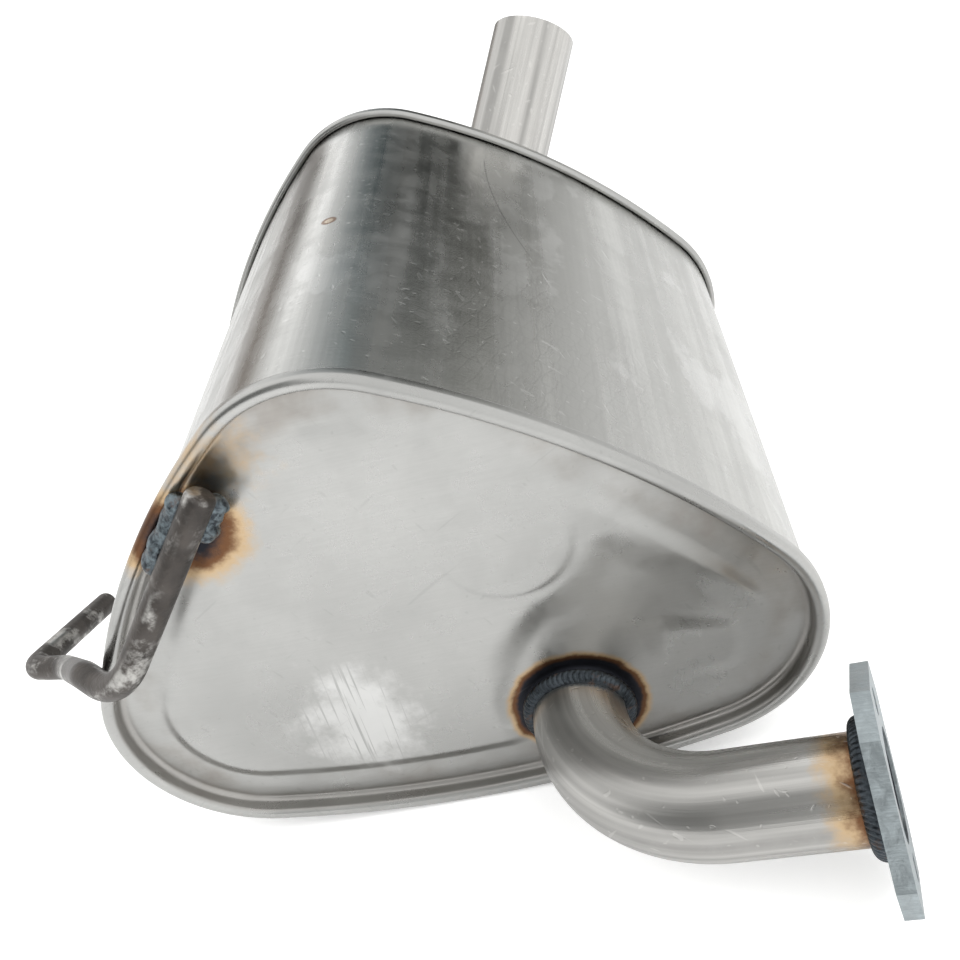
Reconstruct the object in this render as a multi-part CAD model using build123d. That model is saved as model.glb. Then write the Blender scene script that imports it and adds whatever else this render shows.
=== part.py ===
from build123d import *
import os
from math import atan2, cos, degrees, radians, sin, sqrt, tan

# Rear muffler: a rolled steel body of rounded triangular section, two pressed end caps locked on by
# rolled seams, a bent inlet pipe with a bolted flange, a bent tail pipe and a bent hanger rod.
# The body axis runs along Y with the inlet end towards -Y. X follows the flat side and Z is up.
# The model is laid out from the centre of the front rim plane and moved at the end, so that the
# origin is the centre of the flange's sealing face.

# Body section, measured on the outside of the skin: corner centres as (x, z), corner radii and the
# radii of the three bulged sides, each side named after the corner that it starts from
LEFT_CORNER = (-117.1, -44.8)
RIGHT_CORNER = (71.2, -44.8)
TOP_CORNER = (-39.4, 56.5)
LEFT_RADIUS = 63.5
RIGHT_RADIUS = 60.4
TOP_RADIUS = 57.1
BOTTOM_SIDE_RADIUS = 488.0
RIGHT_SIDE_RADIUS = 407.0
LEFT_SIDE_RADIUS = 348.0

# Body length between the two rim planes, and the sheet thicknesses
BODY_LENGTH = 294.0
SKIN_WALL = 1.2
CAP_WALL = 1.2
LINER_WALL = 0.8
BAFFLE_WALL = 1.2
SEAT_GAP = 0.1

# Rolled seam that joins each cap to the skin
SEAM_GAP = 0.15
SEAM_HEIGHT = 7.6
SEAM_BEND = 2.4
SKIN_BEND = 1.2
HOOK_CLEARANCE = 0.8
SEAM_FOLD_SLACK = 0.05

# Pressed panel of each cap
PANEL_RECESS = 8.0
PANEL_BEND = 3.4
PANEL_FLAT_EDGE = 8.5
PANEL_BACKING = 20.0
PLATEAU_INSET = 18.5
PLATEAU_RISE = 2.6
PLATEAU_TAPER = 68.0
BOSS_CENTRE = (15.0, 21.0)
BOSS_RADIUS = 28.5
BOSS_RISE = 0.6
BOSS_TAPER = 45.0
SCOOP_LEFT = (-3.0, -62.0)
SCOOP_LEFT_BEND = (5.0, -39.0)
SCOOP_BESIDE_BOSS = 43.5
SCOOP_ARC_START = -80.0
SCOOP_ARC_END = -22.0
SCOOP_RIGHT = (128.0, -60.0)
SCOOP_DEPTH = -130.0
SCOOP_ROUNDING = 8.0
PAD_CORNERS = [(55.0, -30.0), (60.0, -79.0), (98.0, -76.0), (107.0, -47.0)]
PAD_ROUNDING = 11.0
PAD_RISE = 1.0
PAD_TAPER = 60.0
REAR_SCOOP_RADIUS = 36.0
NECK_BEND = 3.2
NECK_LIP_DEPTH = 4.4

# Inlet pipe and its flange
INLET_OD = 42.0
PIPE_WALL = 1.5
INLET_HOLE = (23.6, -78.5)
INLET_BEND_RADIUS = 63.5
INLET_BEND_ANGLE = 82.5
INLET_LEG_TILT = 6.0
INLET_LEG = 54.5
INLET_INNER_REACH = 62.0
FLANGE_THICKNESS = 7.0
FLANGE_HALF_LENGTH = 41.5
FLANGE_HALF_WIDTH = 31.0
FLANGE_SIDE_HALF = 27.0
FLANGE_END_HALF = 20.0
FLANGE_TURN = 33.0
FLANGE_BORE_CLEARANCE = 0.1
FLANGE_BOLT_CIRCLE = 63.0
FLANGE_BOLT_HOLE = 10.5
FLANGE_PIPE_SETBACK = 1.5

# Tail pipe
TAIL_OD = 50.0
TAIL_HOLE = (20.6, 37.0)
TAIL_STUB = 4.0
TAIL_BEND_RADIUS = 55.0
TAIL_BEND_ANGLE = 52.2
TAIL_BEND_TURN = 57.8
TAIL_LEG = 74.8
TAIL_INNER_REACH = 62.0

# Weld beads
NECK_BEAD = 4.2
NECK_BEAD_LENGTH = 4.2
FLANGE_BEAD = 5.5
BEAD_CROWN_OUT = 0.62
BEAD_CROWN_UP = 0.75
NECK_CROWN_OUT = 0.8
NECK_CROWN_BELOW = 0.35
ROD_BEAD = 5.0
ROD_BEAD_SINK = 1.6
OUTER_BEAD_SPAN = (12.0, 42.0)
INNER_BEAD_SPAN = (7.0, 19.0)

# Inner tubes and plates
TUBE_WALL = 1.0
TUBE_FIT = 0.1
RETURN_TUBE_OD = 45.0
RETURN_TUBE_CENTRE = (-84.0, -36.0)
FRONT_BAFFLE_Y = 96.0
REAR_BAFFLE_Y = 200.0
BAFFLE_LIP = 9.0
BAFFLE_BEND = 3.0
BAFFLE_NECK = 5.0
TUBE_OVERHANG = 22.0
SLEEVE_OVERLAP = 26.0
PERFORATION = 5.0
CUTTER_REACH = 2.4
PERFORATION_ROWS = 7
PERFORATION_PITCH = 12.0
PERFORATIONS_PER_RING = 6
MESH_WALL = 2.0
BLEED_HOLE = 9.0

# Hanger rod: corner points of its centre line as (x, y, z), and the bend radius at each inner corner
ROD_DIAMETER = 12.5
ROD_POINTS = [(-82.8, -6.5, 83.9), (-212.0, -23.0, -61.5), (-183.0, 26.0, -20.0),
              (-260.0, 80.0, -52.5), (-255.0, 160.0, -80.5)]
ROD_BENDS = [13.0, 18.0, 11.0]


def side_centre(c1, r1, c2, r2, side_radius):
    """Centre of the large arc that touches both corner circles from outside the body."""
    dx, dz = c2[0] - c1[0], c2[1] - c1[1]
    span = sqrt(dx * dx + dz * dz)
    a, b = side_radius - r1, side_radius - r2
    along = (a * a - b * b + span * span) / (2 * span)
    across = sqrt(a * a - along * along)
    return (c1[0] + dx / span * along - dz / span * across, c1[1] + dz / span * along + dx / span * across)


def section_arcs():
    """The six arcs of the section, counterclockwise, as centre, radius, start and end angle in degrees."""
    corners = [(LEFT_CORNER, LEFT_RADIUS), (RIGHT_CORNER, RIGHT_RADIUS), (TOP_CORNER, TOP_RADIUS)]
    sides = [BOTTOM_SIDE_RADIUS, RIGHT_SIDE_RADIUS, LEFT_SIDE_RADIUS]
    centres = [side_centre(*corners[i], *corners[(i + 1) % 3], sides[i]) for i in range(3)]
    arcs = []
    for i in range(3):
        corner, radius = corners[i]
        before, after = centres[i - 1], centres[i]
        start = degrees(atan2(corner[1] - before[1], corner[0] - before[0]))
        turn = degrees(atan2(corner[1] - after[1], corner[0] - after[0])) - start
        arcs.append((corner, radius, start, start + turn % 360))
        following = corners[(i + 1) % 3][0]
        start = degrees(atan2(corner[1] - after[1], corner[0] - after[0]))
        turn = degrees(atan2(following[1] - after[1], following[0] - after[0])) - start
        arcs.append((after, sides[i], start, start + turn % 360))
    return arcs


ARCS = section_arcs()


def cross_plane(y):
    """Plane across the body axis at y, with x to the right and z up."""
    return Plane(origin=(0, y, 0), x_dir=(1, 0, 0), z_dir=(0, -1, 0))


def section_outline(offset):
    """Flat face of the body section, grown outwards by offset."""
    return make_face([CenterArc(c, r + offset, a0, a1 - a0) for c, r, a0, a1 in ARCS])


def section_face(offset, y):
    """The body section at y, grown outwards by offset."""
    return cross_plane(y) * section_outline(offset)


def section_block(offset, y0, y1):
    """Solid of the body section grown by offset, from y0 to y1."""
    return extrude(section_face(offset, y0), amount=y1 - y0, dir=(0, 1, 0))


def section_ring(outer, inner, y0, y1):
    """Tube of the body section between two offsets, from y0 to y1."""
    return section_block(outer, y0, y1) - section_block(inner, y0, y1)


def disc(centre, radius, y0, y1):
    """Round solid along the body axis about centre (x, z), from y0 to y1."""
    face = cross_plane(y0) * Pos(centre[0], centre[1]) * Circle(radius)
    return extrude(face, amount=y1 - y0, dir=(0, 1, 0))


def pipe_ring(centre, outer, inner, y0, y1):
    """Round tube along the body axis about centre (x, z), by its two radii."""
    return disc(centre, outer, y0, y1) - disc(centre, inner, y0, y1)


def strip(points, bends, thickness):
    """Flat outline of a folded sheet: its centre line's corner points and bend radii, and its thickness."""
    count = len(points)
    directions = []
    for i in range(count - 1):
        dx, dy = points[i + 1][0] - points[i][0], points[i + 1][1] - points[i][1]
        length = sqrt(dx * dx + dy * dy)
        directions.append((dx / length, dy / length))
    sides = []
    for sign in (1, -1):
        side, radii = [], []
        for i in range(count):
            d1 = directions[max(i - 1, 0)]
            d2 = directions[min(i, count - 2)]
            nx, ny = -(d1[1] + d2[1]), d1[0] + d2[0]
            share = sign * thickness / 2 / (1 + d1[0] * d2[0] + d1[1] * d2[1])
            side.append((points[i][0] + nx * share, points[i][1] + ny * share))
            if 0 < i < count - 1:
                turn = d1[0] * d2[1] - d1[1] * d2[0]
                radii.append(bends[i - 1] - sign * thickness / 2 * (1 if turn > 0 else -1))
        sides.append((side, radii))
    (left, left_radii), (right, right_radii) = sides
    left_line = FilletPolyline(*left, radius=left_radii)
    right_line = FilletPolyline(*right, radius=right_radii)
    ends = [Line(left[0], right[0]), Line(left[-1], right[-1])]
    return make_face([*left_line.edges(), *right_line.edges(), *ends])


def around_section(profile):
    """Carry a flat profile, drawn as (offset from the skin, y), once round the body section."""
    whole = None
    for centre, radius, a0, a1 in ARCS:
        out = (cos(radians(a0)), 0, sin(radians(a0)))
        plane = Plane(origin=(centre[0], 0, centre[1]), x_dir=out, z_dir=(-out[2], 0, out[0]))
        face = plane * Pos(radius, 0) * profile
        axis = Axis((centre[0], 0, centre[1]), (0, -1, 0))
        piece = revolve(face, axis, a1 - a0)
        whole = piece if whole is None else whole + piece
    return whole


def round_about(centre, profile):
    """Turn a flat profile, drawn as (radius, y), about the line through centre (x, z)."""
    plane = Plane(origin=(centre[0], 0, centre[1]), x_dir=(1, 0, 0), z_dir=(0, 0, 1))
    return revolve(plane * profile, Axis((centre[0], 0, centre[1]), (0, 1, 0)), 360)


def to_rear(shape):
    """The same shape at the rear end of the body."""
    return Pos(0, BODY_LENGTH, 0) * mirror(shape, about=Plane.XZ)


# Layers of the rolled seam, by the offset of each sheet's middle from the skin
CAP_INNER = -SKIN_WALL - SEAM_GAP - CAP_WALL / 2
CAP_HOOK = SEAM_GAP + CAP_WALL / 2
SKIN_HOOK = CAP_HOOK + CAP_WALL / 2 + SEAM_GAP + SKIN_WALL / 2
CAP_OUTER = SKIN_HOOK + SKIN_WALL / 2 + SEAM_GAP + CAP_WALL / 2
SKIN_TOP = CAP_WALL + SEAM_GAP + SKIN_WALL / 2
PANEL_MIDDLE = PANEL_RECESS + CAP_WALL / 2
PANEL_OFFSET = CAP_INNER - PANEL_FLAT_EDGE


def cap_seam():
    """Rim of a cap: up the inside of the skin, over its flange, down and hooked back under it."""
    foot = SEAM_HEIGHT - CAP_WALL / 2
    hook_end = SKIN_TOP + SKIN_WALL / 2 + HOOK_CLEARANCE
    points = [(PANEL_OFFSET, PANEL_MIDDLE), (CAP_INNER, PANEL_MIDDLE), (CAP_INNER, CAP_WALL / 2),
              (CAP_OUTER, CAP_WALL / 2), (CAP_OUTER, foot), (CAP_HOOK, foot), (CAP_HOOK, hook_end)]
    turn = (CAP_OUTER - CAP_HOOK) / 2 - SEAM_FOLD_SLACK
    return around_section(strip(points, [PANEL_BEND, SEAM_BEND, SEAM_BEND, turn, turn], CAP_WALL))


def front_scoop():
    """Low area of the front cap: round the boss on one side, round the neck and out to the right."""
    beside = CenterArc(BOSS_CENTRE, SCOOP_BESIDE_BOSS, SCOOP_ARC_START, SCOOP_ARC_END - SCOOP_ARC_START)
    left = ThreePointArc(SCOOP_LEFT, SCOOP_LEFT_BEND, beside @ 0)
    rest = Polyline(beside @ 1, SCOOP_RIGHT, (SCOOP_RIGHT[0], SCOOP_DEPTH), (SCOOP_LEFT[0], SCOOP_DEPTH),
                    SCOOP_LEFT)
    face = make_face([*left.edges(), *beside.edges(), *rest.edges()])
    upper = sorted(face.vertices(), key=lambda corner: corner.Y)[2:]
    rounded = [corner for corner in upper if corner.X < SCOOP_RIGHT[0] - SCOOP_ROUNDING]
    return fillet(rounded, SCOOP_ROUNDING)


def pressed(face, depth, rise, taper):
    """Low block raised out of the panel from depth, narrowing with a positive taper."""
    return extrude(cross_plane(depth) * face, amount=rise, taper=taper)


def plateau_form(scoop):
    """Solid whose front face is a panel with a raised plateau and a low area cut back into it."""
    form = section_block(PANEL_OFFSET, PANEL_RECESS, PANEL_RECESS + PANEL_BACKING)
    form += pressed(section_outline(-PLATEAU_INSET), PANEL_RECESS, PLATEAU_RISE, PLATEAU_TAPER)
    return form - pressed(scoop, PANEL_RECESS, PLATEAU_RISE + CAP_WALL, -PLATEAU_TAPER)


def front_form():
    """Form of the front panel: plateau, boss and the pad beside the inlet neck."""
    form = plateau_form(front_scoop())
    boss = Pos(*BOSS_CENTRE) * Circle(BOSS_RADIUS)
    form += pressed(boss, PANEL_RECESS - PLATEAU_RISE, BOSS_RISE, BOSS_TAPER)
    pad = make_face(Polyline(*PAD_CORNERS, close=True))
    pad = fillet(pad.vertices(), PAD_ROUNDING)
    return form + pressed(pad, PANEL_RECESS, PAD_RISE, PAD_TAPER)


def rear_form():
    """Form of the rear panel: a plateau with a round scoop for the tail neck."""
    return plateau_form(Pos(*TAIL_HOLE) * Circle(REAR_SCOOP_RADIUS))


def neck(centre, pipe_radius):
    """Drawn neck of a cap that hugs a pipe, as a turned piece from the panel to its lip."""
    middle = pipe_radius + SEAT_GAP + CAP_WALL / 2
    foot = middle + NECK_BEND + CAP_WALL
    points = [(foot, PANEL_MIDDLE), (middle, PANEL_MIDDLE), (middle, NECK_LIP_DEPTH)]
    return round_about(centre, strip(points, [NECK_BEND], CAP_WALL)), foot


def end_cap(form, neck_centre, pipe_radius):
    """One pressed cap, drawn at the front end from the form that its panel is pressed over."""
    sheet = form - Pos(0, CAP_WALL, 0) * form
    sheet &= section_block(PANEL_OFFSET, 0, PANEL_RECESS + CAP_WALL)
    turned, foot = neck(neck_centre, pipe_radius)
    sheet -= disc(neck_centre, foot, 0, PANEL_RECESS + 2 * CAP_WALL)
    return sheet + cap_seam() + turned


def skin_flange():
    """Rolled edge of the skin, folded outwards and hooked over inside the cap's rim."""
    wall = -SKIN_WALL / 2
    hook_end = SEAM_HEIGHT - CAP_WALL - 3 * SEAM_GAP
    points = [(wall, 2 * SEAM_HEIGHT), (wall, SKIN_TOP), (SKIN_HOOK, SKIN_TOP), (SKIN_HOOK, hook_end)]
    return around_section(strip(points, [SKIN_BEND, SKIN_BEND], SKIN_WALL))


def body_shell():
    """Rolled skin with a folded edge at each end."""
    start = 2 * SEAM_HEIGHT
    flange = skin_flange()
    return section_ring(0, -SKIN_WALL, start, BODY_LENGTH - start) + flange + to_rear(flange)


LINER_OUTER = -SKIN_WALL - SEAT_GAP
LINER_INNER = LINER_OUTER - LINER_WALL
LINER_START = PANEL_RECESS + CAP_WALL + SEAT_GAP


def inner_liner():
    """Second skin inside the first, between the two cap panels."""
    return section_ring(LINER_OUTER, LINER_INNER, LINER_START, BODY_LENGTH - LINER_START)


INLET_TUBE_INNER = INLET_OD / 2 + TUBE_FIT
INLET_TUBE_OUTER = INLET_TUBE_INNER + TUBE_WALL
OUTLET_TUBE_INNER = TAIL_OD / 2 + TUBE_FIT
OUTLET_TUBE_OUTER = OUTLET_TUBE_INNER + TUBE_WALL
RETURN_TUBE_OUTER = RETURN_TUBE_OD / 2
RETURN_TUBE_INNER = RETURN_TUBE_OUTER - TUBE_WALL
TUBES = [(INLET_HOLE, INLET_TUBE_OUTER), (TAIL_HOLE, OUTLET_TUBE_OUTER),
         (RETURN_TUBE_CENTRE, RETURN_TUBE_OUTER)]
BLEED_HOLES = [(-92.0, 22.0), (-62.0, 62.0), (-20.0, 84.0), (80.0, -10.0), (92.0, -52.0), (-42.0, -92.0)]


def baffle(y, side):
    """Dished plate across the body at y, with its lip and necks pointing towards side (1 or -1)."""
    seat = LINER_INNER - SEAT_GAP - BAFFLE_WALL / 2
    points = [(seat - 2 * BAFFLE_BEND, y), (seat, y), (seat, y + side * BAFFLE_LIP)]
    plate = around_section(strip(points, [BAFFLE_BEND], BAFFLE_WALL))
    half = BAFFLE_WALL / 2
    plate += section_block(seat - 2 * BAFFLE_BEND, y - half, y + half)
    for centre, radius in TUBES:
        hole = radius + SEAT_GAP
        reach = sorted([y, y + side * BAFFLE_NECK])
        plate += disc(centre, hole + BAFFLE_WALL, *reach)
        plate -= disc(centre, hole, y - BAFFLE_LIP, y + BAFFLE_LIP)
    for centre in BLEED_HOLES:
        plate -= disc(centre, BLEED_HOLE / 2, y - half, y + half)
    return plate


def perforated_tube(centre, outer, inner, y0, y1, first_row):
    """Round tube along the body axis with staggered rings of round holes."""
    tube = pipe_ring(centre, outer, inner, y0, y1)
    step = 360 / PERFORATIONS_PER_RING
    for row in range(PERFORATION_ROWS):
        y = first_row + row * PERFORATION_PITCH
        for k in range(PERFORATIONS_PER_RING // 2):
            angle = k * step + (row % 2) * step / 2
            turned = Pos(centre[0], y, centre[1]) * Rot(0, angle, 0)
            tube -= turned * Cylinder(PERFORATION / 2, CUTTER_REACH * outer)
    return tube


FIRST_ROW = (FRONT_BAFFLE_Y + REAR_BAFFLE_Y - (PERFORATION_ROWS - 1) * PERFORATION_PITCH) / 2


def inlet_tube():
    """Perforated tube that sleeves over the inlet pipe and ends in the rear chamber."""
    start = INLET_INNER_REACH - SLEEVE_OVERLAP
    return perforated_tube(INLET_HOLE, INLET_TUBE_OUTER, INLET_TUBE_INNER, start,
                           REAR_BAFFLE_Y + TUBE_OVERHANG, FIRST_ROW)


def outlet_tube():
    """Perforated tube from the front chamber to the tail pipe, which it sleeves over."""
    end = BODY_LENGTH - TAIL_INNER_REACH + SLEEVE_OVERLAP
    return perforated_tube(TAIL_HOLE, OUTLET_TUBE_OUTER, OUTLET_TUBE_INNER,
                           FRONT_BAFFLE_Y - TUBE_OVERHANG, end, FIRST_ROW)


def return_tube():
    """Plain tube that carries the gas back from the rear chamber to the front chamber."""
    return pipe_ring(RETURN_TUBE_CENTRE, RETURN_TUBE_OUTER, RETURN_TUBE_INNER,
                     FRONT_BAFFLE_Y - TUBE_OVERHANG, REAR_BAFFLE_Y + TUBE_OVERHANG)


WOOL_START = FRONT_BAFFLE_Y + BAFFLE_WALL / 2 + SEAT_GAP
WOOL_END = REAR_BAFFLE_Y - BAFFLE_WALL / 2 - SEAT_GAP


def mesh_sleeve(centre, tube_outer):
    """Layer of steel mesh wound round a perforated tube inside the wool."""
    inner = tube_outer + SEAT_GAP
    return pipe_ring(centre, inner + MESH_WALL, inner, WOOL_START, WOOL_END)


def glass_wool():
    """Wool that fills the middle chamber round the tubes."""
    wool = section_block(LINER_INNER - SEAT_GAP, WOOL_START, WOOL_END)
    for centre, radius in TUBES[:2]:
        wool -= disc(centre, radius + 2 * SEAT_GAP + MESH_WALL, WOOL_START, WOOL_END)
    centre, radius = TUBES[2]
    return wool - disc(centre, radius + SEAT_GAP, WOOL_START, WOOL_END)


def along_path(points, bends, outer, inner=0):
    """Round bar or tube along straight runs joined by tangent bends, each run a true cylinder."""
    whole = None
    for edge in FilletPolyline(*points, radius=bends).edges():
        face = Plane(origin=edge @ 0, z_dir=edge % 0) * Circle(outer)
        if inner:
            face -= Plane(origin=edge @ 0, z_dir=edge % 0) * Circle(inner)
        if edge.geom_type == GeomType.LINE:
            piece = extrude(face, amount=edge.length, dir=edge % 0)
        else:
            axis = (edge @ 0 - edge.arc_center).cross(edge % 0)
            piece = revolve(face, Axis(edge.arc_center, axis), degrees(edge.length / edge.radius))
        whole = piece if whole is None else whole + piece
    return whole


def leg_points(hole, y_inside, y_rim, outward, stub, bend_radius, bend_angle, turn, leg):
    """Centre line of a pipe: start inside the body, bend corner and far end, as vectors."""
    tangent = bend_radius * tan(radians(bend_angle) / 2)
    axis = Vector(0, outward, 0)
    across = Vector(cos(radians(turn)), 0, sin(radians(turn)))
    direction = axis * cos(radians(bend_angle)) + across * sin(radians(bend_angle))
    start = Vector(hole[0], y_inside, hole[1])
    corner = Vector(hole[0], y_rim, hole[1]) + axis * (stub + tangent)
    return [start, corner, corner + direction * (tangent + leg)], direction


INLET_PATH, INLET_DIRECTION = leg_points(INLET_HOLE, INLET_INNER_REACH, 0, -1, 0, INLET_BEND_RADIUS,
                                         INLET_BEND_ANGLE, INLET_LEG_TILT, INLET_LEG)
TAIL_PATH, TAIL_DIRECTION = leg_points(TAIL_HOLE, BODY_LENGTH - TAIL_INNER_REACH, BODY_LENGTH, 1,
                                       TAIL_STUB, TAIL_BEND_RADIUS, TAIL_BEND_ANGLE, TAIL_BEND_TURN,
                                       TAIL_LEG)
FLANGE_BACK = INLET_PATH[-1]
FLANGE_FACE = FLANGE_BACK + INLET_DIRECTION * FLANGE_THICKNESS


def inlet_pipe():
    """Bent pipe from inside the front chamber to just short of the flange's sealing face."""
    end = FLANGE_FACE - INLET_DIRECTION * FLANGE_PIPE_SETBACK
    points = [*INLET_PATH[:2], end]
    return along_path(points, [INLET_BEND_RADIUS], INLET_OD / 2, INLET_OD / 2 - PIPE_WALL)


def tail_pipe():
    """Bent pipe from inside the rear chamber to its open end."""
    return along_path(TAIL_PATH, [TAIL_BEND_RADIUS], TAIL_OD / 2, TAIL_OD / 2 - PIPE_WALL)


def flange_plane():
    """Plane on the flange's back face, with x along its length and z out of the sealing face."""
    upright = Vector(0, 0, 1) - INLET_DIRECTION * INLET_DIRECTION.Z
    upright = upright.normalized()
    level = INLET_DIRECTION.cross(upright)
    turn = radians(FLANGE_TURN)
    return Plane(origin=FLANGE_BACK, x_dir=level * sin(turn) - upright * cos(turn), z_dir=INLET_DIRECTION)


def inlet_flange():
    """Two bolt flange, cut from plate with its four corners taken off."""
    a, b = FLANGE_HALF_LENGTH, FLANGE_HALF_WIDTH
    side, end = FLANGE_SIDE_HALF, FLANGE_END_HALF
    corners = [(a, -end), (a, end), (side, b), (-side, b), (-a, end), (-a, -end), (-side, -b), (side, -b)]
    face = make_face(Polyline(*corners, close=True))
    face -= Circle(INLET_OD / 2 + FLANGE_BORE_CLEARANCE)
    for sign in (1, -1):
        face -= Pos(sign * FLANGE_BOLT_CIRCLE / 2, 0) * Circle(FLANGE_BOLT_HOLE / 2)
    return extrude(flange_plane() * face, amount=FLANGE_THICKNESS)


def flange_weld():
    """Fillet bead round the pipe at the back of the flange."""
    radius = INLET_OD / 2
    crown = (radius + FLANGE_BEAD * BEAD_CROWN_OUT, -FLANGE_BEAD * BEAD_CROWN_UP)
    corners = [(radius, 0), (radius + FLANGE_BEAD, 0), crown, (radius, -FLANGE_BEAD)]
    plane = flange_plane()
    face = make_face([Line(corners[0], corners[1]), ThreePointArc(corners[1], corners[2], corners[3]),
                      Line(corners[3], corners[0])])
    turned = Plane(origin=plane.origin, x_dir=plane.x_dir, z_dir=plane.y_dir * -1)
    return revolve(turned * face, Axis(plane.origin, plane.z_dir), 360)


def neck_weld(centre, pipe_radius):
    """Bead between a cap's neck lip and the pipe that passes through it, drawn at the front end."""
    top = NECK_LIP_DEPTH - NECK_BEAD_LENGTH
    inner, outer = (pipe_radius, NECK_LIP_DEPTH), (pipe_radius + NECK_BEAD, NECK_LIP_DEPTH)
    crown = (pipe_radius + NECK_BEAD * NECK_CROWN_OUT, top + NECK_BEAD_LENGTH * NECK_CROWN_BELOW)
    toe = (pipe_radius, top)
    profile = make_face([Line(inner, outer), ThreePointArc(outer, crown, toe), Line(toe, inner)])
    return round_about(centre, profile)


def hanger_rod():
    """Bent round bar, laid on the front rim at its top end and hooked back past the body's left side."""
    return along_path(ROD_POINTS, ROD_BENDS, ROD_DIAMETER / 2)


def largest(shape):
    """The largest solid of a shape that a cut may have parted."""
    return sorted(shape.solids(), key=lambda piece: piece.volume)[-1]


def hanger_weld(side, span, rod, cap):
    """Bead laid along one side of the rod where it lies on the front rim, over a span of its length."""
    start, onward = Vector(*ROD_POINTS[0]), Vector(*ROD_POINTS[1])
    along = (onward - start).normalized()
    across = Vector(0, -1, 0).cross(along).normalized() * side
    ends = []
    for distance in span:
        point = start + along * distance + across * (ROD_DIAMETER / 2)
        ends.append(Vector(point.X, -ROD_BEAD_SINK, point.Z))
    a, b = ends
    bead = extrude(Plane(origin=a, z_dir=b - a) * Circle(ROD_BEAD), amount=(b - a).length)
    bead += Pos(*a) * Sphere(ROD_BEAD) + Pos(*b) * Sphere(ROD_BEAD)
    return largest(bead - rod - cap)


NODES = {}
NODES["front_cap"] = end_cap(front_form(), INLET_HOLE, INLET_OD / 2)
NODES["rear_cap"] = to_rear(end_cap(rear_form(), TAIL_HOLE, TAIL_OD / 2))
NODES["body_shell"] = body_shell()
NODES["inner_liner"] = inner_liner()
NODES["front_baffle"] = baffle(FRONT_BAFFLE_Y, -1)
NODES["rear_baffle"] = baffle(REAR_BAFFLE_Y, 1)
NODES["inlet_tube"] = inlet_tube()
NODES["outlet_tube"] = outlet_tube()
NODES["return_tube"] = return_tube()
NODES["inlet_mesh_sleeve"] = mesh_sleeve(INLET_HOLE, INLET_TUBE_OUTER)
NODES["outlet_mesh_sleeve"] = mesh_sleeve(TAIL_HOLE, OUTLET_TUBE_OUTER)
NODES["glass_wool_packing"] = glass_wool()
NODES["inlet_pipe"] = inlet_pipe()
NODES["tail_pipe"] = tail_pipe()
NODES["inlet_flange"] = inlet_flange()
NODES["inlet_flange_weld"] = flange_weld()
NODES["inlet_neck_weld"] = neck_weld(INLET_HOLE, INLET_OD / 2)
NODES["tail_neck_weld"] = to_rear(neck_weld(TAIL_HOLE, TAIL_OD / 2))
NODES["hanger_rod"] = hanger_rod()
ROD_AND_CAP = NODES["hanger_rod"], NODES["front_cap"]
NODES["hanger_weld_left"] = hanger_weld(-1, OUTER_BEAD_SPAN, *ROD_AND_CAP)
NODES["hanger_weld_right"] = hanger_weld(1, INNER_BEAD_SPAN, *ROD_AND_CAP)

os.makedirs("parts", exist_ok=True)
for name, shape in NODES.items():
    export_step(Pos(*(FLANGE_FACE * -1)) * shape, f"parts/{name}.step")
print("flange face from the front rim centre:", FLANGE_FACE, "direction", INLET_DIRECTION)
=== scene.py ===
"""Rear muffler of bare stainless steel: pressed end caps, brushed skin, bent pipes, flange, hanger rod."""
import math

import bpy
import numpy as np
from bpy.props import FloatProperty, FloatVectorProperty, PointerProperty
from mathutils import Matrix, Vector


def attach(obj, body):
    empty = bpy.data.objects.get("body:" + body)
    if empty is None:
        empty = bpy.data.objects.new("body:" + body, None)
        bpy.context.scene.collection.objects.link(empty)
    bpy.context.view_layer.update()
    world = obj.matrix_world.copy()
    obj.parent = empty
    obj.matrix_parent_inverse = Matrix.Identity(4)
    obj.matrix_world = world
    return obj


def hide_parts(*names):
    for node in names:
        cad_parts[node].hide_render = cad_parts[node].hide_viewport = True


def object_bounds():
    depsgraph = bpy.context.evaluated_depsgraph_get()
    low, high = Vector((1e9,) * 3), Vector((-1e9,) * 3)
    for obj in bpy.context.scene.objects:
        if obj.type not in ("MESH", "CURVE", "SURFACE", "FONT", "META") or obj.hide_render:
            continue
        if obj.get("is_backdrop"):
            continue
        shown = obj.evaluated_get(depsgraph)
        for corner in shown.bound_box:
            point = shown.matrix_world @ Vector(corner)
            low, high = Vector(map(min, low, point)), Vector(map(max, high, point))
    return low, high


bl_info = {
    "name": "Rear muffler",
    "version": (1, 0, 0),
    "blender": (4, 5, 0),
    "location": "View3D > Sidebar > Muffler",
    "description": "Builds the finished surfaces, materials and stage of a stainless rear muffler",
    "category": "Object",
}

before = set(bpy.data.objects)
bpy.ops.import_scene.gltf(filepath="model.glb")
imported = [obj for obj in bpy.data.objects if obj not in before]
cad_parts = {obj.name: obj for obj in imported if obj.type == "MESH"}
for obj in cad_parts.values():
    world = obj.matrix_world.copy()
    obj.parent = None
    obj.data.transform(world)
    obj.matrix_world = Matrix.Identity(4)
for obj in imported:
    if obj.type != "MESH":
        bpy.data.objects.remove(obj)        # frame["bodies"], ["nodes"], ["joints"], ["record"]

# The layout frame starts at the centre of the front rim plane. All numbers below are in millimetres
# there, and this is the centre of the flange's sealing face, which is the part's own origin.
FLANGE_FACE = np.array([139.149, -70.9841, -66.3553])
INLET_DIRECTION = np.array([0.986014, -0.130526, 0.103634])
FLANGE_THICKNESS, FLANGE_RECESS = 7.0, 1.5
METRE = 1000.0        # one metre in layout millimetres

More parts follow.
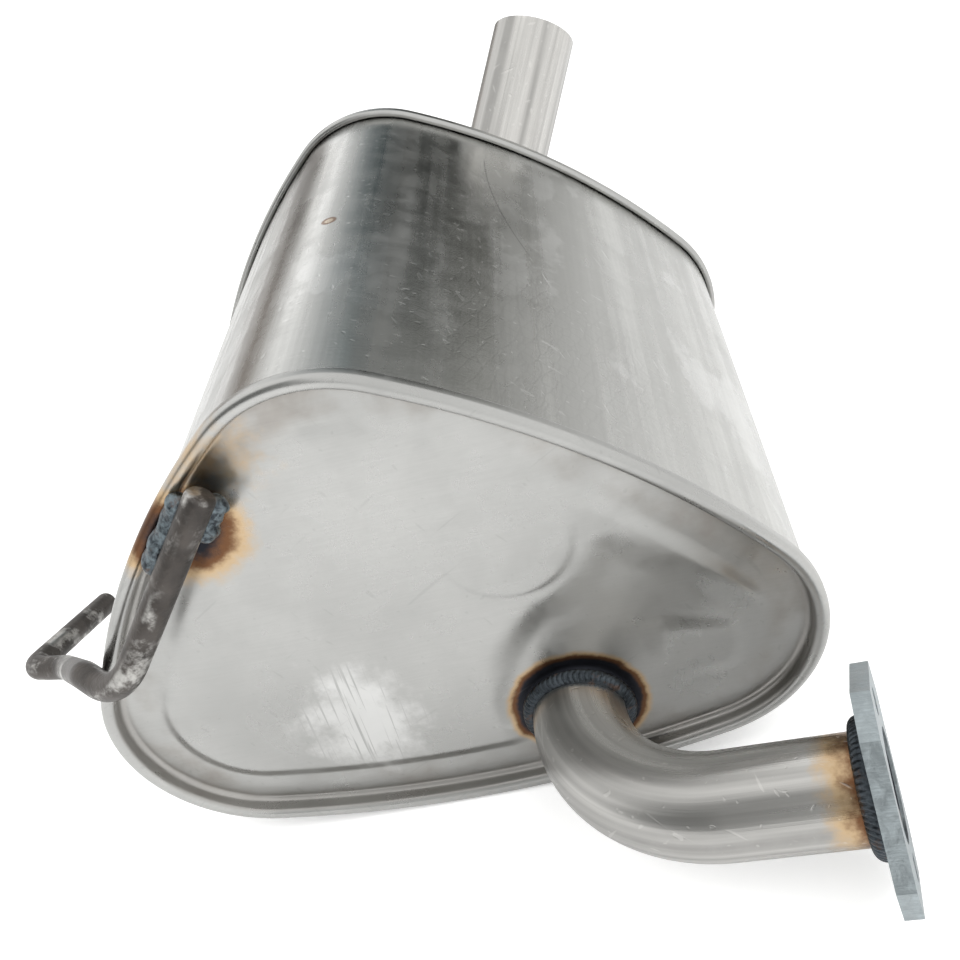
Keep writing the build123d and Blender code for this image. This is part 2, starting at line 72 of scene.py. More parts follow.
# Body section: corner centres and radii and side radii, counterclockwise from the left corner
CORNERS = (((-117.1, -44.8), 63.5), ((71.2, -44.8), 60.4), ((-39.4, 56.5), 57.1))
SIDES = (488.0, 407.0, 348.0)
BODY_LENGTH = 294.0
SKIN_WALL, CAP_WALL, SEAM_GAP = 1.2, 1.2, 0.15
SEAM_HEIGHT, SEAM_BEND, HOOK_CLEARANCE, SEAM_FOLD_SLACK = 7.6, 2.4, 0.8, 0.05
PANEL_RECESS, PANEL_BEND, PANEL_FLAT_EDGE = 8.0, 3.4, 8.5
NECK_BEND, NECK_LIP_DEPTH, SEAT_GAP = 3.2, 4.4, 0.1

# Pressings: how far each soft step spreads, and where the plateau's step fades towards the top and right
PLATEAU_INSET, PLATEAU_SLOPE, TAIL_CLEARING = 18.5, 9.0, 36.0
PLATEAU_FADE_TOP, PLATEAU_FADE_RIGHT, PLATEAU_FADE_RUN = 45.0, 60.0, 80.0
PLATEAU_FLATTEST, PLATEAU_RIGHT_SHARE = 0.28, 0.4
SCOOP_SLOPE, SCOOP_START, BOSS_SLOPE, BOSS_EDGE_OUT, PAD_SLOPE = 17.0, 0.3, 2.6, 0.7, 10.0
# Points along each ray of the panel, outside and inside, and the share of a ray over which both ends fade
PANEL_POINTS_OUT, PANEL_POINTS_IN, PANEL_END_FADE = 154, 30, 1 / 12

INLET_HOLE, INLET_RADIUS, PIPE_WALL = (23.6, -78.5), 21.0, 1.5
INLET_BEND_RADIUS, INLET_BEND_ANGLE, INLET_LEG_TILT, INLET_LEG = 63.5, 82.5, 6.0, 54.5
TAIL_HOLE, TAIL_RADIUS = (20.6, 37.0), 25.0
TAIL_STUB, TAIL_BEND_RADIUS, TAIL_BEND_ANGLE, TAIL_BEND_TURN, TAIL_LEG = 4.0, 55.0, 52.2, 57.8, 74.8
INNER_REACH = 62.0

ROD_RADIUS = 6.25
# The rod starts at the node's own start and ends on its pin; its bends follow the photo
ROD_POINTS = np.array([(-82.8, -6.5, 83.9), (-150.9, -20.95, 6.55), (-172.9, -1.8, 5.95),
                       (-235.0, 70.5, -48.5), (-260.0, 80.0, -52.5), (-255.0, 160.0, -80.5)])
ROD_BENDS = (30.0, 12.0, 17.0, 11.0)

# Weld beads: sizes, how far they sink into what they join, and for each bead along the rod its node,
# its side, the distances along the rod between which it lies, and the start of its unevenness
NECK_BEAD, FLANGE_BEAD, LAID_BEAD = 4.2, 5.5, 5.0
RING_SINK, BEAD_SINK, BEAD_LIFT = 0.3, 1.6, 0.07
HANGER_BEADS = (("hanger_weld_left", -1, (12, 42), 0.4), ("hanger_weld_right", 1, (7, 19), 2.2))

# Rounded end of a pipe: share of the wall's thickness, and how far it stands out past the end
PIPE_END = np.array([(0.04, 0.125), (0.25, 0.325), (0.5, 0.36), (0.75, 0.325), (0.96, 0.125)])
CHAMFER_LEAN = 0.9        # what the rod's radius loses for each millimetre of chamfer


# Section and path geometry

def side_centre(c1, r1, c2, r2, side):
    """Centre of the large arc that touches both corner circles and holds them within: the point whose
    distance to each corner centre is the side radius less the corner's."""
    c1, c2 = np.array(c1), np.array(c2)
    span = np.linalg.norm(c2 - c1)
    unit = (c2 - c1) / span
    a, b = side - r1, side - r2
    along = (a * a - b * b + span * span) / (2 * span)
    across = math.sqrt(a * a - along * along)
    return c1 + unit * along + np.array((-unit[1], unit[0])) * across


def section_arcs():
    """The six arcs of the section as rows of centre x, centre z, radius, first and last normal angle."""
    count = len(CORNERS)
    centres = [side_centre(*CORNERS[i], *CORNERS[(i + 1) % count], SIDES[i]) for i in range(count)]
    rows = []
    for i in range(count):
        corner, radius = np.array(CORNERS[i][0]), CORNERS[i][1]
        following = np.array(CORNERS[(i + 1) % count][0])
        before, after = centres[i - 1], centres[i]
        angles = [math.atan2(*v[::-1]) for v in (corner - before, corner - after, following - after)]
        middle = angles[0] + (angles[1] - angles[0]) % math.tau
        rows.append((*corner, radius, angles[0], middle))
        rows.append((*after, SIDES[i], middle, middle + (angles[2] - angles[1]) % math.tau))
    return np.array(rows)


ARCS = section_arcs()


def arc_at(angle):
    """Centre x, centre z and radius of the arc that holds each normal angle."""
    turned = (angle[:, None] - ARCS[None, :, 3]) % math.tau
    index = np.argmax(turned <= (ARCS[:, 4] - ARCS[:, 3])[None, :] + 1e-9, axis=1)
    return ARCS[index, :3]


def section_angles(count):
    """Normal angles evenly spread by length round the section, closed without repeating the first."""
    start = ARCS[0, 3]
    fine = start + np.linspace(0, math.tau, 8001)
    speed = arc_at(fine)[:, 2]
    length = np.concatenate(([0], np.cumsum((speed[1:] + speed[:-1]) / 2 * np.diff(fine))))
    return np.interp(np.linspace(0, length[-1], count, endpoint=False), length, fine)


def section_points(angle, offset):
    """Points (x, z) of the section at each normal angle, grown outwards by offset: the arc's centre plus
    its radius and the offset along the normal. Both broadcast."""
    arcs = arc_at(angle)
    reach = arcs[:, 2:3] + offset
    return arcs[:, 0:1] + reach * np.cos(angle)[:, None], arcs[:, 1:2] + reach * np.sin(angle)[:, None]


def section_distance(x, z):
    """Signed distance from the skin's outside, negative within the section: the distance to the centre
    less the radius, for the arc whose span holds the point's direction."""
    best = np.full(x.shape, -1e9)
    for cx, cz, radius, first, last in ARCS:
        angle = np.arctan2(z - cz, x - cx)
        distance = np.hypot(x - cx, z - cz) - radius
        inside = (angle - first) % math.tau <= last - first
        best = np.where(inside & (distance > best), distance, best)
    return best


def outline_distance(x, z, outline):
    """Signed distance from a closed polyline: the least distance to its segments, negative where a ray
    from the point crosses an odd number of them."""
    best, inside = np.full(x.shape, 1e9), np.zeros(x.shape, bool)
    for (ax, az), (bx, bz) in zip(outline, np.roll(outline, -1, axis=0)):
        dx, dz = bx - ax, bz - az
        share = np.clip(((x - ax) * dx + (z - az) * dz) / (dx * dx + dz * dz), 0, 1)
        best = np.minimum(best, np.hypot(x - ax - share * dx, z - az - share * dz))
        if dz:
            crosses = ((az > z) != (bz > z)) & (x < ax + (z - az) / dz * dx)
            inside ^= crosses
    return np.where(inside, -best, best)


def smooth(value):
    """Soft step from 0 to 1 as value goes from 0 to 1: three times its square less twice its cube."""
    t = np.clip(value, 0, 1)
    return t * t * (3 - 2 * t)


def rounded(points, radii, steps=7):
    """Polyline with each inner corner turned by an arc of its radius, which touches both runs."""
    points = np.array(points, float)
    out = [points[0]]
    for before, corner, after, radius in zip(points, points[1:], points[2:], radii):
        a, b = before - corner, after - corner
        a, b = a / np.linalg.norm(a), b / np.linalg.norm(b)
        half = math.acos(np.clip(a @ b, -1, 1)) / 2
        middle = (a + b) / np.linalg.norm(a + b)
        centre = corner + middle * radius / math.sin(half)
        start, end = corner + a * radius / math.tan(half), corner + b * radius / math.tan(half)
        turn = np.linspace(0, 1, steps)[:, None]
        sweep = math.pi - 2 * half
        u, v = start - centre, end - centre
        out.extend(centre + (np.sin((1 - turn) * sweep) * u + np.sin(turn * sweep) * v) / math.sin(sweep))
    out.append(points[-1])
    return np.array(out)


def strip_sides(points, bends, thickness):
    """Both sides of a folded sheet from its middle line's corners and bend radii: each corner moves out
    along its mitre by half the thickness, and each bend grows or shrinks by as much."""
    points = np.array(points, float)
    run = np.diff(points, axis=0)
    run /= np.linalg.norm(run, axis=1)[:, None]
    before, after = np.vstack((run[:1], run)), np.vstack((run, run[-1:]))
    normal = np.stack((-(before[:, 1] + after[:, 1]), before[:, 0] + after[:, 0]), axis=1)
    normal /= (1 + (before * after).sum(axis=1))[:, None]
    turn = np.sign(run[:-1, 0] * run[1:, 1] - run[:-1, 1] * run[1:, 0])
    return [rounded(points + normal * sign * thickness / 2, np.array(bends) - sign * thickness / 2 * turn)
            for sign in (1, -1)]


def spread(points, count):
    """The same polyline with count points evenly along its length, its ends kept."""
    step = np.linalg.norm(np.diff(points, axis=0), axis=1)
    length = np.concatenate(([0], np.cumsum(step)))
    at = np.linspace(0, length[-1], count)
    return np.stack([np.interp(at, length, points[:, i]) for i in range(points.shape[1])], axis=1)


def bent_path(points, radii, step):
    """Points, tangents and distance along a bent centre line, the line's corners turned by arcs."""
    line = rounded(points, radii, steps=41)
    keep = np.concatenate(([True], np.linalg.norm(np.diff(line, axis=0), axis=1) > 1e-6))
    line = line[keep]
    length = np.linalg.norm(np.diff(line, axis=0), axis=1).sum()
    line = spread(line, int(length / step) + 1)
    tangent = np.gradient(line, axis=0)
    tangent /= np.linalg.norm(tangent, axis=1)[:, None]
    return line, tangent, np.linspace(0, length, len(line))


def carried_sides(tangent, first):
    """Side vectors along a path that don't twist: each is the last one less its part along the path."""
    sides = np.empty_like(tangent)
    side = np.array(first, float)
    for i, t in enumerate(tangent):
        side = side - t * (side @ t)
        side /= np.linalg.norm(side)
        sides[i] = side
    return sides


# Meshes

def new_piece(name, points, straight=None, close_u=True, close_v=False, poles=False, flip=False):
    """Mesh of a two-parameter grid (u, v, xyz) in layout millimetres, closed in u, and in v or by poles.
    straight holds each point's place on the unbent piece, in the same shape, for the materials."""
    nu, nv = points.shape[:2]
    flat = points.reshape(-1, 3)
    extra = None if straight is None else straight.reshape(-1, 3)
    rows, cols = np.arange(nu if close_u else nu - 1), np.arange(nv if close_v else nv - 1)
    i, j = np.meshgrid(rows, cols, indexing="ij")
    i2, j2 = (i + 1) % nu, (j + 1) % nv
    quads = np.stack((i * nv + j, i2 * nv + j, i2 * nv + j2, i * nv + j2), axis=-1).reshape(-1, 4)
    faces = quads[:, ::-1] if flip else quads
    parts = [faces.reshape(-1)]
    totals = [np.full(len(faces), 4)]
    if poles:
        ends = np.stack((points[:, 0].mean(axis=0), points[:, -1].mean(axis=0)))
        flat = np.vstack((flat, ends))
        if extra is not None:
            extra = np.vstack((extra, straight[:, 0].mean(axis=0), straight[:, -1].mean(axis=0)))
        ring, after = np.arange(nu), (np.arange(nu) + 1) % nu
        first = np.stack((np.full(nu, nu * nv), after * nv, ring * nv), axis=1)
        last = np.stack((np.full(nu, nu * nv + 1), ring * nv + nv - 1, after * nv + nv - 1), axis=1)
        fans = np.vstack((first, last))
        parts.append((fans[:, ::-1] if flip else fans).reshape(-1))
        totals.append(np.full(len(fans), 3))
    loops, totals = np.concatenate(parts), np.concatenate(totals)
    mesh = bpy.data.meshes.new(name)
    mesh.vertices.add(len(flat))
    mesh.vertices.foreach_set("co", ((flat - FLANGE_FACE) / METRE).astype(np.float32).ravel())
    mesh.loops.add(len(loops))
    mesh.loops.foreach_set("vertex_index", loops.astype(np.int32))
    mesh.polygons.add(len(totals))
    starts = np.concatenate(([0], np.cumsum(totals)[:-1]))
    mesh.polygons.foreach_set("loop_start", starts.astype(np.int32))
    mesh.polygons.foreach_set("loop_total", totals.astype(np.int32))
    mesh.polygons.foreach_set("use_smooth", np.ones(len(totals), bool))
    mesh.update(calc_edges=True)
    mesh.validate()
    if extra is not None:
        attribute = mesh.attributes.new("straight", "FLOAT_VECTOR", "POINT")
        attribute.data.foreach_set("vector", (extra / METRE).astype(np.float32).ravel())
    piece = bpy.data.objects.new(name, mesh)
    bpy.context.scene.collection.objects.link(piece)
    return piece


def stand_in(piece, node, material):
    """Puts a new piece in a CAD node's place, on its body and material."""
    piece.data.materials.clear()
    piece.data.materials.append(material)
    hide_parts(node)
    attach(piece, "root")
    return piece


def tube(name, points, radii, outer, wall, first_side, step=1.6, around=128):
    """Bent tube as one closed surface: a circle is carried along the centre line on the outside, over
    the rounded end, back along the inside and over the other end. Returns the piece."""
    line, tangent, distance = bent_path(points, radii, step)
    side = carried_sides(tangent, first_side)
    other = np.cross(tangent, side)
    turn = np.linspace(0, math.tau, around, endpoint=False)
    count, ends = len(line), len(PIPE_END)
    index = np.concatenate((np.arange(count), np.full(ends, count - 1), np.arange(count)[::-1],
                            np.zeros(ends, int)))
    depth = np.concatenate((np.zeros(count), PIPE_END[:, 0], np.ones(count), PIPE_END[::-1, 0]))
    push = np.concatenate((np.zeros(count), PIPE_END[:, 1], np.zeros(count), -PIPE_END[::-1, 1]))
    radius = outer - wall * depth
    cosine, sine = np.cos(turn)[:, None, None], np.sin(turn)[:, None, None]
    out = side[index][None] * cosine + other[index][None] * sine
    points = line[index][None] + tangent[index][None] * push[None, :, None] + out * radius[None, :, None]
    straight = np.stack(np.broadcast_arrays(np.cos(turn)[:, None] * radius[None],
                                            np.sin(turn)[:, None] * radius[None],
                                            distance[index][None]), axis=-1)
    return new_piece(name, points, straight, close_v=True)


def bar(name, points, radii, radius, first_side, chamfer=1.2, step=0.9, around=64):
    """Bent round bar, closed by poles: a circle carried along the centre line, whose radius shrinks
    evenly over the chamfer at both ends."""
    line, tangent, distance = bent_path(points, radii, step)
    side = carried_sides(tangent, first_side)
    other = np.cross(tangent, side)
    turn = np.linspace(0, math.tau, around, endpoint=False)
    from_end = np.minimum(distance, distance[-1] - distance)
    reach = radius - np.clip(chamfer - from_end, 0, chamfer) * CHAMFER_LEAN
    out = side[None] * np.cos(turn)[:, None, None] + other[None] * np.sin(turn)[:, None, None]
    grid = line[None] + out * reach[None, :, None]
    straight = np.stack(np.broadcast_arrays(np.cos(turn)[:, None] * reach[None],
                                            np.sin(turn)[:, None] * reach[None], distance[None]), axis=-1)
    return new_piece(name, grid, straight, poles=True)


# Pressed caps

CAP_INNER = -SKIN_WALL - SEAM_GAP - CAP_WALL / 2
CAP_HOOK = SEAM_GAP + CAP_WALL / 2
SKIN_HOOK = CAP_HOOK + CAP_WALL / 2 + SEAM_GAP + SKIN_WALL / 2
CAP_OUTER = SKIN_HOOK + SKIN_WALL / 2 + SEAM_GAP + CAP_WALL / 2
PANEL_OFFSET = CAP_INNER - PANEL_FLAT_EDGE
BOSS_CENTRE, BOSS_RADIUS, SCOOP_BESIDE_BOSS, PAD_CORNER = (15.0, 21.0), 28.5, 43.5, 11.0


def front_scoop():
    """Outline of the low area round the inlet neck, as points (x, z): a curve of the second degree up its
    left side, an arc beside the boss, and straight lines past the panel's edge on the right and below."""
    beside = np.radians(np.linspace(-80, -22, 16))
    arc = np.array(BOSS_CENTRE) + SCOOP_BESIDE_BOSS * np.stack((np.cos(beside), np.sin(beside)), axis=1)
    t = np.linspace(0, 1, 9)[:-1, None]
    start, middle = np.array((-3.0, -62.0)), np.array((5.0, -39.0))
    bend = 2 * middle - (start + arc[0]) / 2
    left = (1 - t) ** 2 * start + 2 * t * (1 - t) * bend + t * t * arc[0]
    return np.vstack((left, arc, [(128.0, -60.0), (128.0, -130.0), (-3.0, -130.0)]))


def pad_outline():
    """Outline of the raised pad right of the inlet neck, its corners rounded."""
    corners = np.array([(55.0, -30.0), (60.0, -79.0), (98.0, -76.0), (107.0, -47.0)])
    middle = (corners[0] + corners[-1]) / 2
    line = rounded(np.vstack((middle, corners, middle)), [PAD_CORNER] * 4)
    return line[:-1]


def panel_height(x, z, rear, sizes):
    """How far the panel's front face stands out of its flat edge: soft steps of the distance to the
    plateau's border, the low area round the neck, the boss circle and the pad, each times its rise,
    plus a slow uneven swell of three crossing waves."""
    edge = smooth((-PLATEAU_INSET - section_distance(x, z)) / PLATEAU_SLOPE)
    if rear:
        beside_neck = (np.hypot(x - TAIL_HOLE[0], z - TAIL_HOLE[1]) - TAIL_CLEARING) / PLATEAU_SLOPE
    else:
        beside_neck = outline_distance(x, z, front_scoop()) / SCOOP_SLOPE + SCOOP_START
    raised = edge * smooth(beside_neck)
    low = smooth((PLATEAU_FADE_TOP - z) / PLATEAU_FADE_RUN)
    left = smooth((PLATEAU_FADE_RIGHT - x) / PLATEAU_FADE_RUN)
    kept = low * (PLATEAU_RIGHT_SHARE + (1 - PLATEAU_RIGHT_SHARE) * left)
    height = raised * sizes.plateau_rise * METRE * (PLATEAU_FLATTEST + (1 - PLATEAU_FLATTEST) * kept)
    swell = (np.sin(x / 31 + 0.7) * np.cos(z / 23 - 0.4) + 0.6 * np.sin((x + z) / 17 + 2.1)
             + 0.4 * np.cos((x - 1.7 * z) / 12.5))
    height += raised * swell * sizes.panel_swell * METRE
    if not rear:
        boss = np.hypot(x - BOSS_CENTRE[0], z - BOSS_CENTRE[1])
        height += smooth((BOSS_RADIUS + BOSS_EDGE_OUT - boss) / BOSS_SLOPE) * sizes.boss_rise * METRE
        pad = outline_distance(x, z, pad_outline())
        height += smooth(-pad / PAD_SLOPE) * sizes.pad_rise * METRE
    return height


def cap_points(rear, sizes, around=320):
    """One pressed cap as a closed surface: neck lip, panel, rolled seam, and back along the inside.
    Rays from the neck's centre carry the panel out to the section, and normals carry the seam."""
    hole, pipe = (TAIL_HOLE, TAIL_RADIUS) if rear else (INLET_HOLE, INLET_RADIUS)
    angle = section_angles(around)
    ex, ez = section_points(angle, PANEL_OFFSET)
    ex, ez = ex[:, 0], ez[:, 0]
    ray = np.arctan2(ez - hole[1], ex - hole[0])
    middle = pipe + SEAT_GAP + CAP_WALL / 2
    foot = middle + NECK_BEND + CAP_WALL
    level = PANEL_RECESS + CAP_WALL / 2
    lip = [(middle, NECK_LIP_DEPTH), (middle, level), (foot, level)]
    inner_lip, outer_lip = strip_sides(lip, [NECK_BEND], CAP_WALL)
    if outer_lip[:, 0].mean() < inner_lip[:, 0].mean():
        inner_lip, outer_lip = outer_lip, inner_lip
    hook_end = CAP_WALL + SEAM_GAP + SKIN_WALL + HOOK_CLEARANCE
    fold = SEAM_HEIGHT - CAP_WALL / 2
    turn = (CAP_OUTER - CAP_HOOK) / 2 - SEAM_FOLD_SLACK
    seam = [(PANEL_OFFSET, level), (CAP_INNER, level), (CAP_INNER, CAP_WALL / 2), (CAP_OUTER, CAP_WALL / 2),
            (CAP_OUTER, fold), (CAP_HOOK, fold), (CAP_HOOK, hook_end)]
    sides = strip_sides(seam, [PANEL_BEND, SEAM_BEND, SEAM_BEND, turn, turn], CAP_WALL)
    front = sides[0] if sides[0][0, 1] < sides[1][0, 1] else sides[1]
    back = sides[1] if front is sides[0] else sides[0]

    def carried_round(profile):
        """A profile of offset and depth carried round the section along its normals."""
        offset = np.broadcast_to(profile[None, :, 0], (around, len(profile)))
        x, z = section_points(angle, offset)
        return np.stack((x, np.broadcast_to(profile[None, :, 1], x.shape), z), axis=-1)

    def turned(profile):
        """A profile of radius and depth turned round the neck, on the panel's own rays."""
        cosine, sine = np.cos(ray)[:, None], np.sin(ray)[:, None]
        x, z = hole[0] + profile[None, :, 0] * cosine, hole[1] + profile[None, :, 0] * sine
        return np.stack((x, np.broadcast_to(profile[None, :, 1], x.shape), z), axis=-1)

    def panel(depth, shares):
        """One face of the panel: straight rays from the neck's foot to the panel's edge, less its height."""
        start = turned(np.array([(foot, 0)]))[:, 0, ::2]
        end = np.stack((ex, ez), axis=-1)
        flat = start[:, None] * (1 - shares)[None, :, None] + end[:, None] * shares[None, :, None]
        x, z = flat[..., 0], flat[..., 1]
        fade = (smooth(shares / PANEL_END_FADE) * smooth((1 - shares) / PANEL_END_FADE))[None]
        return np.stack((x, depth - panel_height(x, z, rear, sizes) * fade, z), axis=-1)

    outside = np.linspace(0, 1, PANEL_POINTS_OUT)[1:-1]
    inside = np.linspace(1, 0, PANEL_POINTS_IN)[1:-1]
    rows = [turned(outer_lip), panel(PANEL_RECESS, outside), carried_round(front),
            carried_round(back[::-1]), panel(PANEL_RECESS + CAP_WALL, inside), turned(inner_lip[::-1])]
    points = np.concatenate(rows, axis=1)
    step = np.linalg.norm(np.diff(points, axis=1), axis=2).max(axis=0)
    return points[:, np.concatenate(([True], step > 1e-4))]


def inset_of(points):
    """For each cap point: how far it lies in from the skin, how deep behind the rim, and its height."""
    x, y, z = np.moveaxis(points, -1, 0)
    return np.stack((-section_distance(x, z), y, z), axis=-1)


def to_rear(points):
    """Mirror layout points from the front end to the rear end of the body."""
    return points * (1, -1, 1) + (0, BODY_LENGTH, 0)


# Pipe centre lines

def leg_points(hole, y_inside, y_rim, outward, stub, radius, angle, turn, leg):
    """Start, bend corner and far end of a pipe's centre line. The corner lies past the stub by the bend's
    tangent length, and the leg leaves it turned by the bend's angle, in the plane that turn gives."""
    tangent = radius * math.tan(math.radians(angle) / 2)
    axis = np.array((0.0, outward, 0.0))
    across = np.array((math.cos(math.radians(turn)), 0, math.sin(math.radians(turn))))
    direction = axis * math.cos(math.radians(angle)) + across * math.sin(math.radians(angle))
    corner = np.array((hole[0], y_rim, hole[1])) + axis * (stub + tangent)
    start = np.array((hole[0], y_inside, hole[1]))
    return np.array([start, corner, corner + direction * (tangent + leg)])


INLET_PATH = leg_points(INLET_HOLE, INNER_REACH, 0, -1, 0, INLET_BEND_RADIUS, INLET_BEND_ANGLE,
                        INLET_LEG_TILT, INLET_LEG + FLANGE_THICKNESS - FLANGE_RECESS)
TAIL_PATH = leg_points(TAIL_HOLE, BODY_LENGTH - INNER_REACH, BODY_LENGTH, 1, TAIL_STUB, TAIL_BEND_RADIUS,
                       TAIL_BEND_ANGLE, TAIL_BEND_TURN, TAIL_LEG)


# Weld beads

def ring_bead(name, centre, axis, side, foot_radius, size, ripple, around=640, section=26):
    """Weld bead round a pipe: a quarter-round section turned about the pipe, its crown moved by
    ripples whose crests trail back towards the toes, and by a slow unevenness of three waves."""
    axis, side = np.array(axis, float), np.array(side, float)
    other = np.cross(axis, side)
    turn = np.linspace(0, math.tau, around, endpoint=False)[:, None]
    share = np.linspace(0, 1, section)[None]
    crown = np.sin(math.pi * share)
    count = round(math.tau * (foot_radius + size) / ripple)
    phase = turn * count - 2.4 * crown + 0.5 * np.sin(3 * turn) + 0.35 * np.sin(7 * turn + 1)
    scallop = np.abs(np.sin(phase / 2)) ** 0.7
    slow = 0.5 * np.sin(2 * turn + 0.6) + 0.3 * np.sin(5 * turn + 2.0) + 0.2 * np.sin(11 * turn)
    grow = 1 + crown * (0.16 * (scallop - 0.6) + 0.04 * slow)
    quarter = share * math.pi / 2
    radius = foot_radius + size * np.cos(quarter) * grow
    height = size * np.sin(quarter) * grow
    back = np.linspace(1, 0, 5)[None, 1:].repeat(around, axis=0)
    radius = np.concatenate((radius, np.full_like(back, foot_radius - RING_SINK)), axis=1)
    height = np.concatenate((height, size * back), axis=1)
    out = side * np.cos(turn)[..., None] + other * np.sin(turn)[..., None]
    points = np.array(centre) + out * radius[..., None] + axis * height[..., None]
    straight = np.stack(np.broadcast_arrays(turn * foot_radius, radius - foot_radius, height), axis=-1)
    return new_piece(name, points, straight, close_v=True)


def laid_bead(name, start, end, radius, seed, around=56, along=150):
    """Weld bead laid between two points: a circle carried along a line, its radius that of a rod with
    round ends, which swells and dips by two waves and by small steps."""
    start, end = np.array(start), np.array(end)
    axis = (end - start) / np.linalg.norm(end - start)
    side = np.cross(axis, (0, -1.0, 0))
    side /= np.linalg.norm(side)
    other = np.cross(axis, side)
    length = np.linalg.norm(end - start)
    t = np.linspace(0, 1, along)[None]
    place = t * (length + 2 * radius) - radius
    turn = np.linspace(0, math.tau, around, endpoint=False)[:, None]
    past_end = np.clip(np.abs(place - length / 2) - length / 2, 0, radius)
    cap = np.sqrt(np.clip(1 - past_end ** 2 / radius ** 2, 0, 1))
    lump = (0.10 * np.sin(t * 9 + seed + 1.3 * np.cos(turn)) + 0.07 * np.sin(t * 23 + 2 * turn + seed * 2)
            + 0.05 * np.abs(np.sin(t * length / 1.9 + np.cos(turn + seed))))
    reach = radius * np.maximum(cap, 0.02) * (1 + lump * cap)
    out = side * np.cos(turn)[..., None] + other * np.sin(turn)[..., None]
    points = start + axis * place[..., None] + out * reach[..., None]
    straight = np.stack(np.broadcast_arrays(np.cos(turn) * reach, np.sin(turn) * reach, place + radius),
                        axis=-1)
    return new_piece(name, points, straight, poles=True)


# Material helpers

class Graph:
    """Small helper that adds nodes to one tree and links them."""

    def __init__(self, tree):
        self.tree = tree

    def feed(self, socket, value):
        """Link an output to an input, or set the input's own value."""
        if isinstance(value, bpy.types.NodeSocket):
            self.tree.links.new(value, socket)
        else:
            socket.default_value = value

    def node(self, kind, inputs=(), **settings):
        """A node with its settings, each of its inputs linked or set."""
        made = self.tree.nodes.new(kind)
        for key, value in settings.items():
            setattr(made, key, value)
        for key, value in dict(inputs).items():
            self.feed(made.inputs[key], value)
        return made

    def math(self, operation, a, b=0.0):
        return self.node("ShaderNodeMath", {0: a, 1: b}, operation=operation).outputs[0]

    def times(self, a, b):
        return self.math("MULTIPLY", a, b)

    def vector(self, operation, a, b=(0, 0, 0)):
        return self.node("ShaderNodeVectorMath", {0: a, 1: b}, operation=operation).outputs

    def split(self, vector):
        return self.node("ShaderNodeSeparateXYZ", {0: vector}).outputs

    def sum_of(self, *terms):
        """Sum of outputs, each given with its weight."""
        total = None
        for value, weight in terms:
            part = value if weight == 1 else self.times(value, weight)
            total = part if total is None else self.math("ADD", total, part)
        return total

    def largest(self, first, *others):
        """The largest of several outputs."""
        for other in others:
            first = self.math("MAXIMUM", first, other)
        return first

    def noise(self, vector, scale, detail=3.0, rough=0.5, distortion=0.0):
        made = self.node("ShaderNodeTexNoise", {"Vector": vector, "Scale": scale, "Detail": detail,
                                                "Roughness": rough, "Distortion": distortion})
        return made.outputs["Fac"]

    def mapped(self, vector, scale=(1, 1, 1), place=(0, 0, 0), turn=(0, 0, 0)):
        made = self.node("ShaderNodeMapping", {"Vector": vector, "Location": place, "Rotation": turn,
                                               "Scale": scale})
        return made.outputs[0]

    def range(self, value, a, b, c=0.0, d=1.0, kind="SMOOTHSTEP"):
        """From c to d as value goes from a to b, by a soft step unless another kind is given."""
        made = self.node("ShaderNodeMapRange", {"Value": value, "From Min": a, "From Max": b,
                                                "To Min": c, "To Max": d}, interpolation_type=kind)
        return made.outputs[0]

    def falls(self, value, a, b):
        """1 up to a, then softly down to 0 at b."""
        return self.range(value, a, b, 1.0, 0.0)

    def band(self, value, rise, fall):
        """Soft step up over the rise times soft step down over the fall, each a pair of borders."""
        return self.times(self.range(value, *rise), self.falls(value, *fall))

    def mix(self, factor, a, b):
        return self.node("ShaderNodeMix", {0: factor, 6: a, 7: b}, data_type="RGBA").outputs[2]

    def layers(self, base, *layers):
        """Colours laid over a base in turn; each layer is a mask, the most it covers, and a colour."""
        for mask, share, colour in layers:
            base = self.mix(self.times(mask, share), base, colour)
        return base

    def distance(self, vector, point):
        return self.vector("DISTANCE", vector, point)["Value"]

    def place(self):
        """Place in the part's own frame, in metres."""
        return self.node("ShaderNodeTexCoord").outputs["Object"]

    def unbent(self):
        """Place on the unbent piece, in metres, from the mesh's own attribute."""
        return self.node("ShaderNodeAttribute", attribute_name="straight").outputs["Vector"]


def new_group(name, inputs, outputs):
    """Shader node group with its sockets; returns a graph on it, what it is given and what it puts out."""
    group = bpy.data.node_groups.new(name, "ShaderNodeTree")
    for label, kind, value in inputs:
        socket = group.interface.new_socket(label, in_out="INPUT", socket_type=kind)
        if value is not None:
            socket.default_value = value
    for label, kind in outputs:
        group.interface.new_socket(label, in_out="OUTPUT", socket_type=kind)
    graph = Graph(group)
    return graph, graph.node("NodeGroupInput").outputs, graph.node("NodeGroupOutput").inputs


FLOAT, VECTOR, COLOUR = "NodeSocketFloat", "NodeSocketVector", "NodeSocketColor"


def make_grain_group():
    """Brushed grain: noise that is stretched along the third axis of its own coordinates."""
    g, given, out = new_group("Brushed grain", [("Vector", VECTOR, None), ("Across", FLOAT, 900.0),
                                                ("Along", FLOAT, 12.0)],
                              [("Fine", FLOAT), ("Streak", FLOAT), ("Height", FLOAT)])
    stretch = g.node("ShaderNodeCombineXYZ", {0: given["Across"], 1: given["Across"], 2: given["Along"]})
    scaled = g.vector("MULTIPLY", given["Vector"], stretch.outputs[0])[0]
    fine = g.noise(scaled, 1.0, 4, 0.65)
    streak = g.noise(g.vector("MULTIPLY", scaled, (0.13, 0.13, 0.25))[0], 1.0, 3, 0.55)
    g.feed(out["Fine"], g.range(fine, 0.3, 0.7))
    g.feed(out["Streak"], g.range(streak, 0.32, 0.68))
    g.feed(out["Height"], fine)


